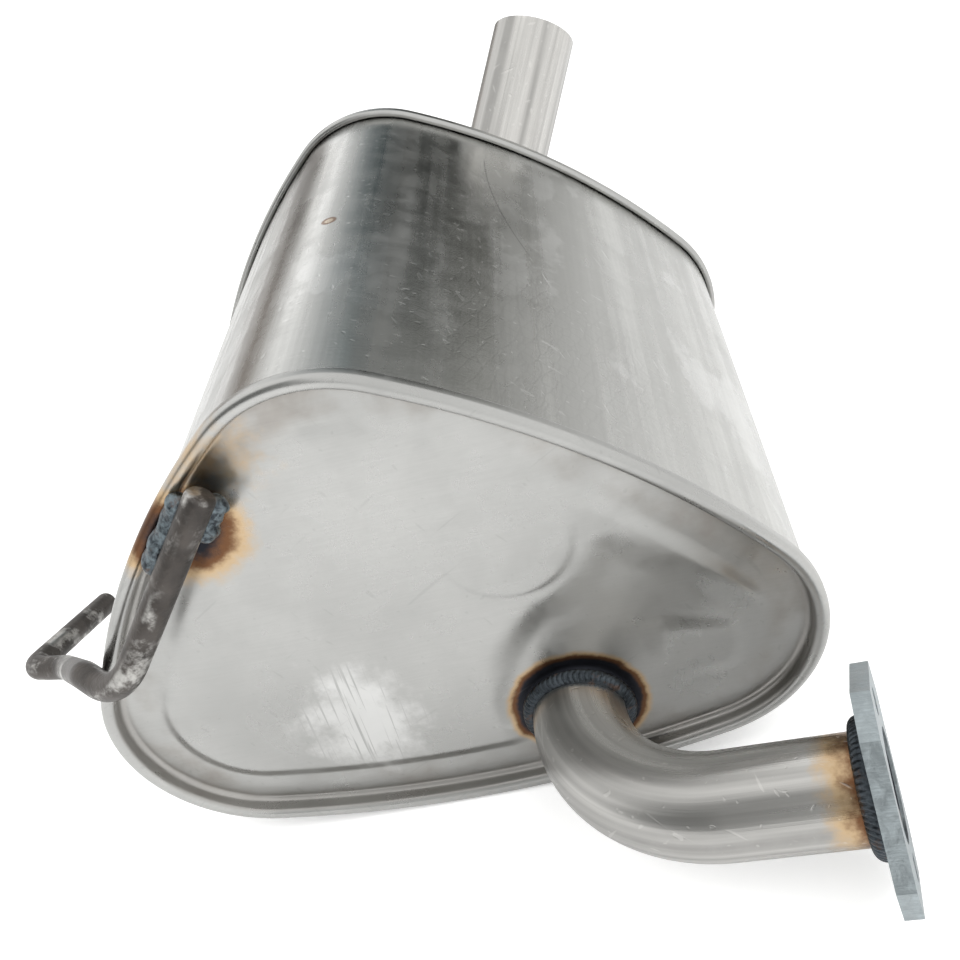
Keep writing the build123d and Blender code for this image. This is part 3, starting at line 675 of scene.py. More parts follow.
def make_scratch_group():
    """Thin scratches: noise drawn out along three turned axes, with only its sharpest crests kept."""
    g, given, out = new_group("Scratches", [("Vector", VECTOR, None), ("Cut", FLOAT, 0.76),
                                            ("Scale", FLOAT, 400.0)], [("Mask", FLOAT)])
    found = []
    for turn in ((0.3, 0.5, 0.9), (0.1, 2.1, 0.4), (1.2, 0.2, 2.2)):
        drawn = g.mapped(g.mapped(given["Vector"], turn=turn), (1, 1, 0.05))
        crest = g.math("SUBTRACT", g.noise(drawn, given["Scale"], 0.0, 0.5, 0.15), given["Cut"])
        found.append(g.range(crest, 0.0, 0.05))
    g.feed(out["Mask"], g.largest(*found))


def make_spatter_group():
    """Small dark weld spatter: the middles of scattered cells, kept where the cell's own colour allows."""
    g, given, out = new_group("Spatter", [("Vector", VECTOR, None), ("Scale", FLOAT, 60.0),
                                          ("Size", FLOAT, 0.06), ("Amount", FLOAT, 0.3)], [("Mask", FLOAT)])
    cell = g.node("ShaderNodeTexVoronoi", {"Vector": given["Vector"], "Scale": given["Scale"]}).outputs
    dot = g.falls(g.math("SUBTRACT", cell["Distance"], given["Size"]), -0.02, 0.02)
    pick = g.node("ShaderNodeSeparateColor", {0: cell["Color"]}).outputs[0]
    g.feed(out["Mask"], g.times(dot, g.math("LESS_THAN", pick, given["Amount"])))


def make_tint_group():
    """Heat tint near a weld: from clean steel through straw, brown and blue to dark scale, by closeness."""
    g, given, out = new_group("Heat tint", [("Closeness", FLOAT, 0.0), ("Vector", VECTOR, None),
                                            ("Straw", COLOUR, None), ("Brown", COLOUR, None),
                                            ("Blue", COLOUR, None)],
                              [("Colour", COLOUR), ("Mask", FLOAT), ("Scale", FLOAT)])
    wobble = g.times(g.math("SUBTRACT", g.noise(given["Vector"], 110.0, 5, 0.65), 0.5), 0.5)
    near = g.math("ADD", given["Closeness"], wobble)
    first = g.mix(g.range(near, 0.38, 0.62), given["Straw"], given["Brown"])
    g.feed(out["Colour"], g.mix(g.range(near, 0.62, 0.88), first, given["Blue"]))
    g.feed(out["Mask"], g.times(g.range(near, 0.12, 0.45), g.range(given["Closeness"], 0.0, 0.12)))
    g.feed(out["Scale"], g.range(near, 0.7, 1.0))


def make_mottle_group():
    """Slow unevenness of rolled sheet and of thin grime: two noises of different size."""
    g, given, out = new_group("Mottle", [("Vector", VECTOR, None), ("Scale", FLOAT, 12.0)],
                              [("Slow", FLOAT), ("Cloud", FLOAT)])
    cloud = g.noise(given["Vector"], g.times(given["Scale"], 4.3), 5, 0.6, 0.4)
    g.feed(out["Slow"], g.range(g.noise(given["Vector"], given["Scale"], 2, 0.5), 0.3, 0.7))
    g.feed(out["Cloud"], g.range(cloud, 0.35, 0.7))


def use_group(g, name, **inputs):
    """Place a shared group in a material with its own values; returns its outputs."""
    return g.node("ShaderNodeGroup", inputs, node_tree=bpy.data.node_groups[name]).outputs


def new_material(name, roughness=0.4, metallic=1.0):
    """Material with one shader; returns it, its graph and the shader's inputs."""
    material = bpy.data.materials.new(name)
    material.use_nodes = True
    material.node_tree.nodes.clear()
    g = Graph(material.node_tree)
    shader = g.node("ShaderNodeBsdfPrincipled", {"Roughness": roughness, "Metallic": metallic})
    g.node("ShaderNodeOutputMaterial", {"Surface": shader.outputs[0]})
    return material, g, shader.inputs


def finish(g, shader, colour, rough, height, strength, deep=0.0002):
    """Give a shader its colour and roughness, and bump it by a height that stands for deep metres."""
    g.feed(shader["Base Color"], colour)
    g.feed(shader["Roughness"], rough)
    bump = g.node("ShaderNodeBump", {"Strength": strength, "Distance": deep, "Height": height})
    g.feed(shader["Normal"], bump.outputs[0])


def rgba(colour, share=1.0):
    """Four-part colour from a three-part property, scaled by share."""
    return (colour[0] * share, colour[1] * share, colour[2] * share, 1.0)


def part_point(layout):
    """A layout point in millimetres as a point in the part's frame, in metres."""
    return tuple((np.array(layout, float) - FLANGE_FACE) / METRE)


class MufflerSizes(bpy.types.PropertyGroup):
    """Sizes of the drawn forms that a user may change."""
    plateau_rise: FloatProperty(name="Plateau rise", description="How far the cap's plateau stands out",
                                default=0.0026, min=0, max=0.005, unit="LENGTH")
    boss_rise: FloatProperty(name="Boss rise", description="How far the round boss stands out of the plateau",
                             default=0.0004, min=0, max=0.002, unit="LENGTH")
    pad_rise: FloatProperty(name="Pad rise", description="How far the pad beside the neck stands out",
                            default=0.0009, min=0, max=0.002, unit="LENGTH")
    panel_swell: FloatProperty(name="Panel swell", description="Slow unevenness of the pressed panel",
                               default=0.00007, min=0, max=0.0003, unit="LENGTH", precision=5)
    weld_ripple: FloatProperty(name="Weld ripple", description="Distance between the ripples of a weld",
                               default=0.0026, min=0.001, max=0.006, unit="LENGTH")
    rod_chamfer: FloatProperty(name="Rod chamfer", description="Chamfer at the hanger rod's ends",
                               default=0.0012, min=0.0005, max=0.002, unit="LENGTH")


class MufflerColours(bpy.types.PropertyGroup):
    """Colours that a user may change."""
    cap: FloatVectorProperty(name="Cap steel", description="Colour of the pressed caps", subtype="COLOR",
                             size=3, min=0, max=1, default=(0.475, 0.475, 0.463))
    skin: FloatVectorProperty(name="Skin steel", description="Colour of the brushed skin", subtype="COLOR",
                              size=3, min=0, max=1, default=(0.56, 0.56, 0.542))
    pipe: FloatVectorProperty(name="Pipe steel", description="Colour of both pipes", subtype="COLOR",
                              size=3, min=0, max=1, default=(0.60, 0.59, 0.57))
    flange: FloatVectorProperty(name="Flange steel", description="Colour of the flange", subtype="COLOR",
                                size=3, min=0, max=1, default=(0.42, 0.47, 0.49))
    rod: FloatVectorProperty(name="Rod scale", description="Colour of the rod's dark scale", subtype="COLOR",
                             size=3, min=0, max=1, default=(0.060, 0.054, 0.050))
    weld: FloatVectorProperty(name="Weld metal", description="Colour of the weld beads", subtype="COLOR",
                              size=3, min=0, max=1, default=(0.045, 0.052, 0.060))
    straw: FloatVectorProperty(name="Straw tint", description="Palest heat tint", subtype="COLOR",
                               size=3, min=0, max=1, default=(0.56, 0.41, 0.25))
    brown: FloatVectorProperty(name="Brown tint", description="Middle heat tint", subtype="COLOR",
                               size=3, min=0, max=1, default=(0.16, 0.078, 0.040))
    blue: FloatVectorProperty(name="Blue tint", description="Darkest heat tint", subtype="COLOR",
                              size=3, min=0, max=1, default=(0.032, 0.034, 0.042))
    # Brown of the painted reflection: laid in the cap's channel beside the rim and on the seam's wall, and as
    # the band on the skin's upper left
    painted_brown_reflection: FloatVectorProperty(name="Rim dirt", description="Thin brown dirt inside the rim", subtype="COLOR",
                              size=3, min=0, max=1, default=(0.30, 0.265, 0.235))
    floor: FloatVectorProperty(name="Floor", description="Colour of the studio floor", subtype="COLOR",
                               size=3, min=0, max=1, default=(0.9, 0.9, 0.9))


# Places of the marks that the photo shows, in layout millimetres. On the skin a place is the section's
# normal angle in degrees and the distance behind the front rim. What a mark measures is in metres,
# as the materials read it.
RESIDUE_PLACE, RESIDUE_SQUEEZE = (-72, 7, -60), (24, 0, 17)
ROD_TINT_PLACE, ROD_GLOW_PLACE = (-104, 4, 60), (-82, 6, 92)
NECK_TINT_DEPTH = 6
SPOT, SCALES = (91, 150), (51, 75)
HAIRLINE_REAR, HAIRLINE_FRONT, HAIRLINE_FADE = (55, 262), (51.5, 150), 0.01
# Normal angles of the section, and the height above which, that bound the painted brown reflection band on
# the skin
REFLECTION_BAND_LEFT, REFLECTION_BAND_RIGHT, REFLECTION_BAND_ABOVE = 128, 109, 60
# Distances along the inlet pipe between which its tint grows; the tail pipe ends before its own begin
INLET_TINT, TAIL_TINT = (0.182, 0.2165), (0.9, 1.0)

# Turns that lay the grain's third axis along the body and across it
ALONG_BODY, ACROSS_BODY = (-math.pi / 2, 0, 0), (0, math.pi / 2, 0)

SPATTER_BLACK, FLANGE_SPATTER = (0.03, 0.028, 0.025, 1), (0.06, 0.05, 0.045, 1)
RESIDUE_WHITE, RUBBED_BRIGHT = (0.84, 0.84, 0.83, 1), (0.74, 0.74, 0.73, 1)
SCRATCH_BRIGHT = (0.88, 0.88, 0.87, 1)
ROD_DUST, ROD_WORN, WELD_SLATE = (0.105, 0.088, 0.076, 1), (0.50, 0.49, 0.47, 1), (0.28, 0.34, 0.37, 1)


def tinted(g, colours, base, closeness, vector):
    """Lay the heat tint over a base colour. Returns the colour and the mask of dark scale."""
    tint = use_group(g, "Heat tint", Closeness=closeness, Vector=vector, Straw=rgba(colours.straw),
                     Brown=rgba(colours.brown), Blue=rgba(colours.blue))
    return g.mix(tint["Mask"], base, tint["Colour"]), tint["Scale"]


def near_point(g, where, layout, first, last, peak=1.0):
    """Closeness to a layout point: peak up to the first distance in metres, fading to 0 at the last."""
    return g.range(g.distance(where, part_point(layout)), first, last, peak, 0.0, "LINEAR")


def residue(g, where):
    """Ragged patch of dried residue low on the front cap, and the thin runs scraped through it: the
    squeezed distance from its centre plus noise falls off softly, and drawn-out noise makes the runs."""
    centre = tuple(-c * k for c, k in zip(part_point(RESIDUE_PLACE), RESIDUE_SQUEEZE))
    reach = g.vector("LENGTH", g.mapped(where, RESIDUE_SQUEEZE, centre))["Value"]
    ragged = g.math("ADD", reach, g.times(g.noise(where, 55.0, 5, 0.65), 1.2))
    on_front = g.math("LESS_THAN", g.split(where)[1], part_point((0, BODY_LENGTH / 2, 0))[1])
    patch = g.times(g.falls(ragged, 0.85, 1.35), on_front)
    drawn = g.mapped(g.mapped(where, turn=(0, -0.05, 0)), (640, 30, 15))
    return patch, g.times(g.range(g.noise(drawn, 1.0, 2, 0.5), 0.60, 0.66), patch)


def cap_material(colours):
    """Satin pressed sheet with spatter, scratches, dried residue, painted brown reflection at the rim and
    heat tint at its welds. The painted reflection lies in the channel beside the rim and on the seam's wall,
    by the distance from the skin."""
    material, g, shader = new_material("cap_steel_satin")
    where, inset = g.place(), g.split(g.unbent())[0]
    mottle = use_group(g, "Mottle", Vector=where, Scale=11.0)
    fine = use_group(g, "Mottle", Vector=where, Scale=48.0)
    grain = use_group(g, "Brushed grain", Vector=g.mapped(where, turn=ACROSS_BODY), Across=1100.0, Along=60.0)
    scratches = use_group(g, "Scratches", Vector=where, Cut=0.79, Scale=420.0)["Mask"]
    spatter = use_group(g, "Spatter", Vector=where, Scale=38.0, Size=0.022, Amount=0.22)["Mask"]
    # Painted reflection: brown in the channel beside the rim, broken by noise
    painted_brown_reflection = g.times(g.band(inset, (0.0022, 0.006), (0.013, 0.024)),
                   g.range(g.noise(where, 30.0, 4, 0.6), 0.42, 0.75))
    # Painted reflection: brown darkening on the seam's inner wall
    wall = g.band(inset, (0.0012, 0.0024), (0.004, 0.008))
    patch, runs = residue(g, where)
    base = g.layers(g.mix(mottle["Slow"], rgba(colours.cap, 0.88), rgba(colours.cap, 1.05)),
                    (fine["Cloud"], 0.12, rgba(colours.cap, 0.86)),
                    (grain["Fine"], 0.22, rgba(colours.cap, 0.8)),
                    (painted_brown_reflection, 0.55, rgba(colours.painted_brown_reflection)), (wall, 0.35, rgba(colours.painted_brown_reflection, 0.8)),
                    (patch, 0.6, RESIDUE_WHITE), (runs, 0.45, rgba(colours.cap, 0.45)))
    neck = near_point(g, where, (INLET_HOLE[0], NECK_TINT_DEPTH, INLET_HOLE[1]), 0.0262, 0.0345)
    tail = near_point(g, where, (TAIL_HOLE[0], BODY_LENGTH - NECK_TINT_DEPTH, TAIL_HOLE[1]),
                      0.0302, 0.0375, 0.9)
    rod = near_point(g, where, ROD_TINT_PLACE, 0.008, 0.034)
    glow = near_point(g, where, ROD_GLOW_PLACE, 0.006, 0.040, 0.34)
    colour, scale = tinted(g, colours, base, g.largest(neck, tail, rod, glow), where)
    colour = g.layers(colour, (scratches, 0.12, rgba(colours.cap, 0.4)))
    rough = g.sum_of((g.range(mottle["Cloud"], 0.0, 1.0, 0.27, 0.38), 1), (g.largest(patch, painted_brown_reflection), 0.12),
                     (scale, 0.2))
    height = g.sum_of((grain["Height"], 0.25), (scratches, -0.1), (spatter, 2.5))
    finish(g, shader, g.mix(spatter, colour, SPATTER_BLACK), rough, height, 0.22)
    return material


def skin_place(angle, y):
    """Point of the skin at a normal angle in degrees and a distance behind the front rim."""
    x, z = section_points(np.radians([angle]), np.zeros(1))
    return (x[0, 0], y, z[0, 0])


def skin_spot(g, where):
    """Brown ring round a straw spot, by the distance from the spot's middle."""
    away = g.distance(where, part_point(skin_place(*SPOT)))
    return g.band(away, (0.0016, 0.0026), (0.0032, 0.0044)), g.falls(away, 0.0028, 0.0038)


def skin_hairline(g, where):
    """Long curved hairline: seen from above, the circle through its two ends whose centre is level with
    the rear one, so that it leaves along the body; it fades at both ends and shows on the upper side."""
    rear, front = skin_place(*HAIRLINE_REAR), skin_place(*HAIRLINE_FRONT)
    across, along = front[0] - rear[0], rear[1] - front[1]
    radius = (across * across + along * along) / (2 * across)
    centre = part_point((rear[0] + radius, rear[1], 0))
    flat = g.vector("MULTIPLY", where, (1, 1, 0))[0]
    off = g.math("SUBTRACT", g.distance(flat, (centre[0], centre[1], 0)), radius / METRE)
    start, end = part_point(front)[1], part_point(rear)[1]
    split = g.split(where)
    gate = g.times(g.band(split[1], (start, start + HAIRLINE_FADE), (end - HAIRLINE_FADE, end)),
                   g.math("GREATER_THAN", split[2], part_point((0, 0, 0))[2]))
    return g.times(g.falls(g.math("ABSOLUTE", off), 0.0001, 0.0004), gate)


def skin_painted_reflection(g, where):
    """Painted reflection: dull brown band along the upper left of the skin, between two normal angles of its
    section, standing in for a dark reflection on the curved corner.
    """
    split = g.split(where)
    left, right = (part_point(skin_place(angle, 0))[0] for angle in (REFLECTION_BAND_LEFT, REFLECTION_BAND_RIGHT))
    painted_band = g.band(split[0], (left - 0.006, left + 0.003), (right - 0.004, right + 0.004))
    return g.times(painted_band, g.math("GREATER_THAN", split[2], part_point((0, 0, REFLECTION_BAND_ABOVE))[2]))


def skin_scales(g, where):
    """Patch of faint scales: the borders of slightly stretched cells, fading out round one place."""
    cell = g.node("ShaderNodeTexVoronoi", {"Vector": g.mapped(where, (1.0, 0.8, 1.0), turn=(0, 0, 0.4)),
                                           "Scale": 190.0, "Randomness": 0.35}, feature="DISTANCE_TO_EDGE")
    patch = g.falls(g.distance(where, part_point(skin_place(*SCALES))), 0.040, 0.090)
    return g.times(g.falls(cell.outputs["Distance"], 0.02, 0.10), patch)


def skin_material(colours):
    """Brushed skin: grain along the body, short strokes across it, rubbed patches, faint scales, marks, and a
    painted brown reflection band.
    """
    material, g, shader = new_material("skin_steel_brushed")
    where = g.place()
    grain = use_group(g, "Brushed grain", Vector=g.mapped(where, turn=ALONG_BODY), Across=520.0, Along=7.0)
    cross = use_group(g, "Brushed grain", Vector=g.mapped(where, turn=ACROSS_BODY), Across=800.0, Along=60.0)
    mottle = use_group(g, "Mottle", Vector=where, Scale=11.0)
    scratches = use_group(g, "Scratches", Vector=where, Cut=0.785, Scale=380.0)["Mask"]
    rubbed = g.range(g.noise(g.mapped(where, (1, 0.6, 1)), 16.0, 5, 0.6, 0.3), 0.55, 0.60)
    ring, stain = skin_spot(g, where)
    scales = skin_scales(g, where)
    base = g.layers(g.mix(grain["Streak"], rgba(colours.skin, 0.88), rgba(colours.skin, 1.08)),
                    (grain["Fine"], 0.20, rgba(colours.skin, 0.7)),
                    (cross["Fine"], 0.22, rgba(colours.skin, 0.75)),
                    (mottle["Cloud"], 0.2, rgba(colours.skin, 0.84)), (rubbed, 0.35, RUBBED_BRIGHT),
                    (scales, 0.12, rgba(colours.skin, 0.55)), (scratches, 0.20, SCRATCH_BRIGHT),
                    # Painted reflection: dull brown band along the upper left of the skin
                    (skin_painted_reflection(g, where), 0.55, rgba(colours.painted_brown_reflection, 0.7)),
                    (skin_hairline(g, where), 0.7, rgba(colours.skin, 0.4)),
                    (stain, 0.6, rgba(colours.straw)), (ring, 0.85, rgba(colours.brown)))
    rough = g.sum_of((g.range(grain["Streak"], 0.0, 1.0, 0.28, 0.19), 1), (mottle["Cloud"], 0.07))
    height = g.sum_of((grain["Height"], 0.4), (cross["Height"], 0.45), (scratches, -0.6),
                      (mottle["Slow"], 2.2), (scales, -0.15))
    finish(g, shader, base, rough, height, 0.3)
    return material


def pipe_material(name, colours, tint_from, tint_to):
    """Drawn tube: streaks along the unbent pipe, and heat tint between two distances along it."""
    material, g, shader = new_material(name)
    where = g.unbent()
    grain = use_group(g, "Brushed grain", Vector=where, Across=750.0, Along=8.0)
    mottle = use_group(g, "Mottle", Vector=where, Scale=22.0)
    scratches = use_group(g, "Scratches", Vector=where, Cut=0.77, Scale=400.0)["Mask"]
    base = g.layers(g.mix(grain["Streak"], rgba(colours.pipe, 0.55), rgba(colours.pipe, 1.15)),
                    (grain["Fine"], 0.3, rgba(colours.pipe, 0.6)),
                    (mottle["Cloud"], 0.2, rgba(colours.pipe, 0.8)))
    closeness = g.range(g.split(where)[2], tint_from, tint_to, 0.0, 0.98, "LINEAR")
    colour, scale = tinted(g, colours, base, closeness, where)
    colour = g.layers(colour, (scratches, 0.22, rgba(colours.pipe, 1.3)))
    rough = g.sum_of((g.range(grain["Streak"], 0.0, 1.0, 0.36, 0.24), 1), (scale, 0.25))
    finish(g, shader, colour, rough, g.sum_of((grain["Height"], 1), (scratches, -0.8)), 0.3)
    return material


def flange_material(colours):
    """Bare plate: bluish rolled faces and sheared edges with fine lines through the thickness."""
    material, g, shader = new_material("flange_steel_bare")
    where = g.place()
    yaw = math.atan2(INLET_DIRECTION[1], INLET_DIRECTION[0])
    pitch = math.asin(INLET_DIRECTION[2])
    through = g.mapped(g.mapped(where, turn=(0, 0, -yaw)), turn=(0, math.pi / 2 + pitch, 0))
    grain = use_group(g, "Brushed grain", Vector=through, Across=1500.0, Along=120.0)
    mottle = use_group(g, "Mottle", Vector=where, Scale=40.0)
    spatter = use_group(g, "Spatter", Vector=where, Scale=120.0, Size=0.08, Amount=0.15)["Mask"]
    base = g.layers(g.mix(mottle["Cloud"], rgba(colours.flange, 0.75), rgba(colours.flange, 1.1)),
                    (grain["Fine"], 0.5, rgba(colours.flange, 0.6)), (spatter, 0.8, FLANGE_SPATTER))
    height = g.sum_of((grain["Height"], 1.2), (mottle["Cloud"], 1))
    finish(g, shader, base, g.range(mottle["Cloud"], 0.0, 1.0, 0.34, 0.5), height, 0.35, 0.0003)
    return material


def rod_material(colours):
    """Hot rolled bar: dark scale with brown dust, worn bright where a noise and the streaks agree."""
    material, g, shader = new_material("rod_steel_scale")
    where = g.unbent()
    grain = use_group(g, "Brushed grain", Vector=where, Across=500.0, Along=40.0)
    mottle = use_group(g, "Mottle", Vector=where, Scale=55.0)
    scale = g.layers(g.mix(mottle["Slow"], rgba(colours.rod, 0.8), rgba(colours.rod, 1.7)),
                     (mottle["Cloud"], 0.25, ROD_DUST))
    worn = g.times(g.range(g.noise(where, 42.0, 5, 0.7), 0.47, 0.62), g.range(grain["Streak"], 0.1, 0.6))
    height = g.sum_of((mottle["Cloud"], 1), (grain["Height"], 0.4))
    finish(g, shader, g.mix(worn, scale, ROD_WORN), g.range(worn, 0.0, 1.0, 0.42, 0.3), height, 0.4, 0.0003)
    g.feed(shader["Metallic"], g.range(worn, 0.0, 1.0, 0.7, 1.0))
    return material


def weld_material(name, colours, slate):
    """Weld metal: dark glassy oxide with brown and pale flecks; slate is the share of pale slate."""
    material, g, shader = new_material(name)
    where = g.unbent()
    mottle = use_group(g, "Mottle", Vector=where, Scale=90.0)
    rust = g.range(g.noise(where, 140.0, 3, 0.6), 0.58, 0.72)
    base = g.layers(g.mix(mottle["Slow"], rgba(colours.weld, 0.7), rgba(colours.weld, 1.5)),
                    (mottle["Cloud"], slate, WELD_SLATE), (rust, 0.5, rgba(colours.brown)))
    finish(g, shader, base, g.range(mottle["Cloud"], 0.0, 1.0, 0.28, 0.5), mottle["Cloud"], 0.5, 0.0004)
    return material


def inner_material(name, colour, roughness, metallic, scale):
    """Hidden piece: plain sheet, wire mesh or wool, mottled at its own scale."""
    material, g, shader = new_material(name, roughness, metallic)
    mottle = use_group(g, "Mottle", Vector=g.place(), Scale=scale)
    base = g.layers(g.mix(mottle["Cloud"], rgba(colour, 0.8), rgba(colour)),
                    (mottle["Slow"], 0.3, rgba(colour, 0.6)))
    finish(g, shader, base, roughness, mottle["Cloud"], 0.3, 0.0004)
    return material


def settings():
    """The scene's sizes and colours."""
    return bpy.context.scene.muffler_sizes, bpy.context.scene.muffler_colours


def material(name):
    """A finished material by name; raises if the materials aren't made yet."""
    found = bpy.data.materials.get(name)
    if found is None:
        raise RuntimeError(f"make the materials first: {name} is missing")
    return found


class MUFFLER_OT_materials(bpy.types.Operator):
    """Make the shared effect groups and every material"""
    bl_idname = "muffler.materials"
    bl_label = "Make materials"

    def execute(self, context):
        _, colours = settings()
        for make in (make_grain_group, make_scratch_group, make_spatter_group, make_tint_group,
                     make_mottle_group):
            make()
        cap_material(colours)
        skin_material(colours)
        pipe_material("inlet_pipe_steel", colours, *INLET_TINT)
        pipe_material("tail_pipe_steel", colours, *TAIL_TINT)
        flange_material(colours)
        rod_material(colours)
        weld_material("ring_weld", colours, 0.12)
        weld_material("hanger_weld", colours, 0.75)
        inner_material("inner_steel_plain", (0.5, 0.5, 0.5), 0.4, 1.0, 30.0)
        inner_material("steel_mesh_wire", (0.42, 0.42, 0.42), 0.55, 1.0, 400.0)
        inner_material("glass_wool_fibre", (0.85, 0.8, 0.6), 0.95, 0.0, 220.0)
        return {"FINISHED"}


class MUFFLER_OT_caps(bpy.types.Operator):
    """Build both pressed end caps with their rolled seams"""
    bl_idname = "muffler.caps"
    bl_label = "Build end caps"

    def execute(self, context):
        sizes, _ = settings()
        for node, rear in (("front_cap", False), ("rear_cap", True)):
            points = cap_points(rear, sizes)
            placed = to_rear(points) if rear else points
            cap = new_piece(node + "_pressed", placed, inset_of(points), flip=rear)
            stand_in(cap, node, material("cap_steel_satin"))
        return {"FINISHED"}


class MUFFLER_OT_pipes(bpy.types.Operator):
    """Build the inlet pipe and the tail pipe as bent tubes"""
    bl_idname = "muffler.pipes"
    bl_label = "Build pipes"

    def execute(self, context):
        inlet = tube("inlet_pipe_bent", INLET_PATH, [INLET_BEND_RADIUS], INLET_RADIUS, PIPE_WALL, (0, 0, 1))
        stand_in(inlet, "inlet_pipe", material("inlet_pipe_steel"))
        tail = tube("tail_pipe_bent", TAIL_PATH, [TAIL_BEND_RADIUS], TAIL_RADIUS, PIPE_WALL, (1, 0, 0))
        stand_in(tail, "tail_pipe", material("tail_pipe_steel"))
        return {"FINISHED"}


class MUFFLER_OT_rod(bpy.types.Operator):
    """Build the bent hanger rod with its chamfered ends"""
    bl_idname = "muffler.rod"
    bl_label = "Build hanger rod"

    def execute(self, context):
        sizes, _ = settings()
        rod = bar("hanger_rod_bent", ROD_POINTS, ROD_BENDS, ROD_RADIUS, (0, 1, 0), sizes.rod_chamfer * METRE)
        stand_in(rod, "hanger_rod", material("rod_steel_scale"))
        return {"FINISHED"}


class MUFFLER_OT_welds(bpy.types.Operator):
    """Build the rippled ring welds and the laid welds of the hanger rod"""
    bl_idname = "muffler.welds"
    bl_label = "Build welds"

    def execute(self, context):
        sizes, _ = settings()
        ripple = sizes.weld_ripple * METRE
        flange_back = FLANGE_FACE - INLET_DIRECTION * FLANGE_THICKNESS
        flange_side = np.cross(INLET_DIRECTION, (0, 0, 1.0))
        flange_side /= np.linalg.norm(flange_side)
        rings = (("inlet_neck_weld", (INLET_HOLE[0], NECK_LIP_DEPTH, INLET_HOLE[1]), (0, -1, 0), (1, 0, 0),
                  INLET_RADIUS, NECK_BEAD),
                 ("tail_neck_weld", (TAIL_HOLE[0], BODY_LENGTH - NECK_LIP_DEPTH, TAIL_HOLE[1]), (0, 1, 0),
                  (1, 0, 0), TAIL_RADIUS, NECK_BEAD),
                 ("inlet_flange_weld", flange_back, -INLET_DIRECTION, flange_side, INLET_RADIUS, FLANGE_BEAD))
        for node, centre, axis, side, foot_radius, size in rings:
            bead = ring_bead(node + "_bead", centre, axis, side, foot_radius, size, ripple)
            stand_in(bead, node, material("ring_weld"))
        start, onward = ROD_POINTS[0], ROD_POINTS[1]
        along = (onward - start) / np.linalg.norm(onward - start)
        across = np.cross((0, -1.0, 0), along)
        across /= np.linalg.norm(across)
        for node, sign, span, seed in HANGER_BEADS:
            ends = [start + along * d + across * sign * ROD_RADIUS for d in span]
            for end, d in zip(ends, span):
                end[1] = -BEAD_SINK - BEAD_LIFT * d
            bead = laid_bead(node + "_bead", *ends, LAID_BEAD, seed)
            stand_in(bead, node, material("hanger_weld"))
        return {"FINISHED"}


class MUFFLER_OT_cad_finish(bpy.types.Operator):
    """Give the carried-over nodes their materials"""
    bl_idname = "muffler.cad_finish"
    bl_label = "Finish carried nodes"

    def execute(self, context):
        by_node = {"body_shell": "skin_steel_brushed", "inlet_flange": "flange_steel_bare",
                   "inlet_mesh_sleeve": "steel_mesh_wire", "outlet_mesh_sleeve": "steel_mesh_wire",
                   "glass_wool_packing": "glass_wool_fibre"}
        for name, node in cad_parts.items():
            if node.hide_render:
                continue
            node.data.materials.clear()
            node.data.materials.append(material(by_node.get(name, "inner_steel_plain")))
        return {"FINISHED"}


# Camera fitted to the photo, in the layout frame
CAMERA_PLACE = np.array([84.948, -334.586, 292.716])
CAMERA_RIGHT = np.array([0.961337, 0.003175, -0.275356])
CAMERA_DOWN = np.array([-0.220435, -0.590431, -0.776402])
CAMERA_LOOK = np.array([-0.165044, 0.807082, -0.566903])
CAMERA_LENS, CAMERA_SENSOR, CAMERA_NEAR = 41.804, 36.0, 0.01

# Stage, in metres: half the floor's side and its drop under the part, and each lamp's name, place,
# target, side and power
FLOOR_HALF, FLOOR_DROP, FLOOR_GLOW = 6.0, 0.0005, (0.35, 0.35, 0.35, 1)
LAMPS = (("lamp_left", (-0.9, -0.5, 1.3), (-0.25, 0.1, 0.0), 0.9, 8.5),
         ("lamp_right", (0.9, -0.2, 1.5), (-0.1, 0.1, 0.0), 1.1, 9.5))
# Light and dark bands of the studio round the body's direction, by share of the turn and colour
SKY_BANDS = ((0.0, (0.035, 0.022, 0.014)), (0.04, (0.06, 0.045, 0.032)), (0.075, (0.62, 0.60, 0.57)),
             (0.10, (1.2, 1.2, 1.19)), (0.34, (1.35, 1.35, 1.34)), (0.40, (1.15, 1.15, 1.14)),
             (0.50, (1.08, 1.08, 1.07)), (0.53, (0.70, 0.70, 0.69)), (0.56, (0.38, 0.38, 0.365)),
             (0.59, (0.17, 0.17, 0.157)), (0.625, (0.065, 0.067, 0.060)), (0.69, (0.045, 0.052, 0.052)),
             (0.725, (0.08, 0.105, 0.11)), (0.78, (0.27, 0.30, 0.31)), (0.82, (0.58, 0.60, 0.60)),
             (0.87, (1.15, 1.15, 1.15)), (0.91, (1.8, 1.8, 1.8)), (0.935, (0.75, 0.73, 0.70)),
             (0.955, (0.10, 0.075, 0.055)), (1.0, (0.035, 0.022, 0.014)))
SKY_DARK, SKY_BRIGHT = (0.20, 0.205, 0.20, 1), (1.2, 1.2, 1.19, 1)


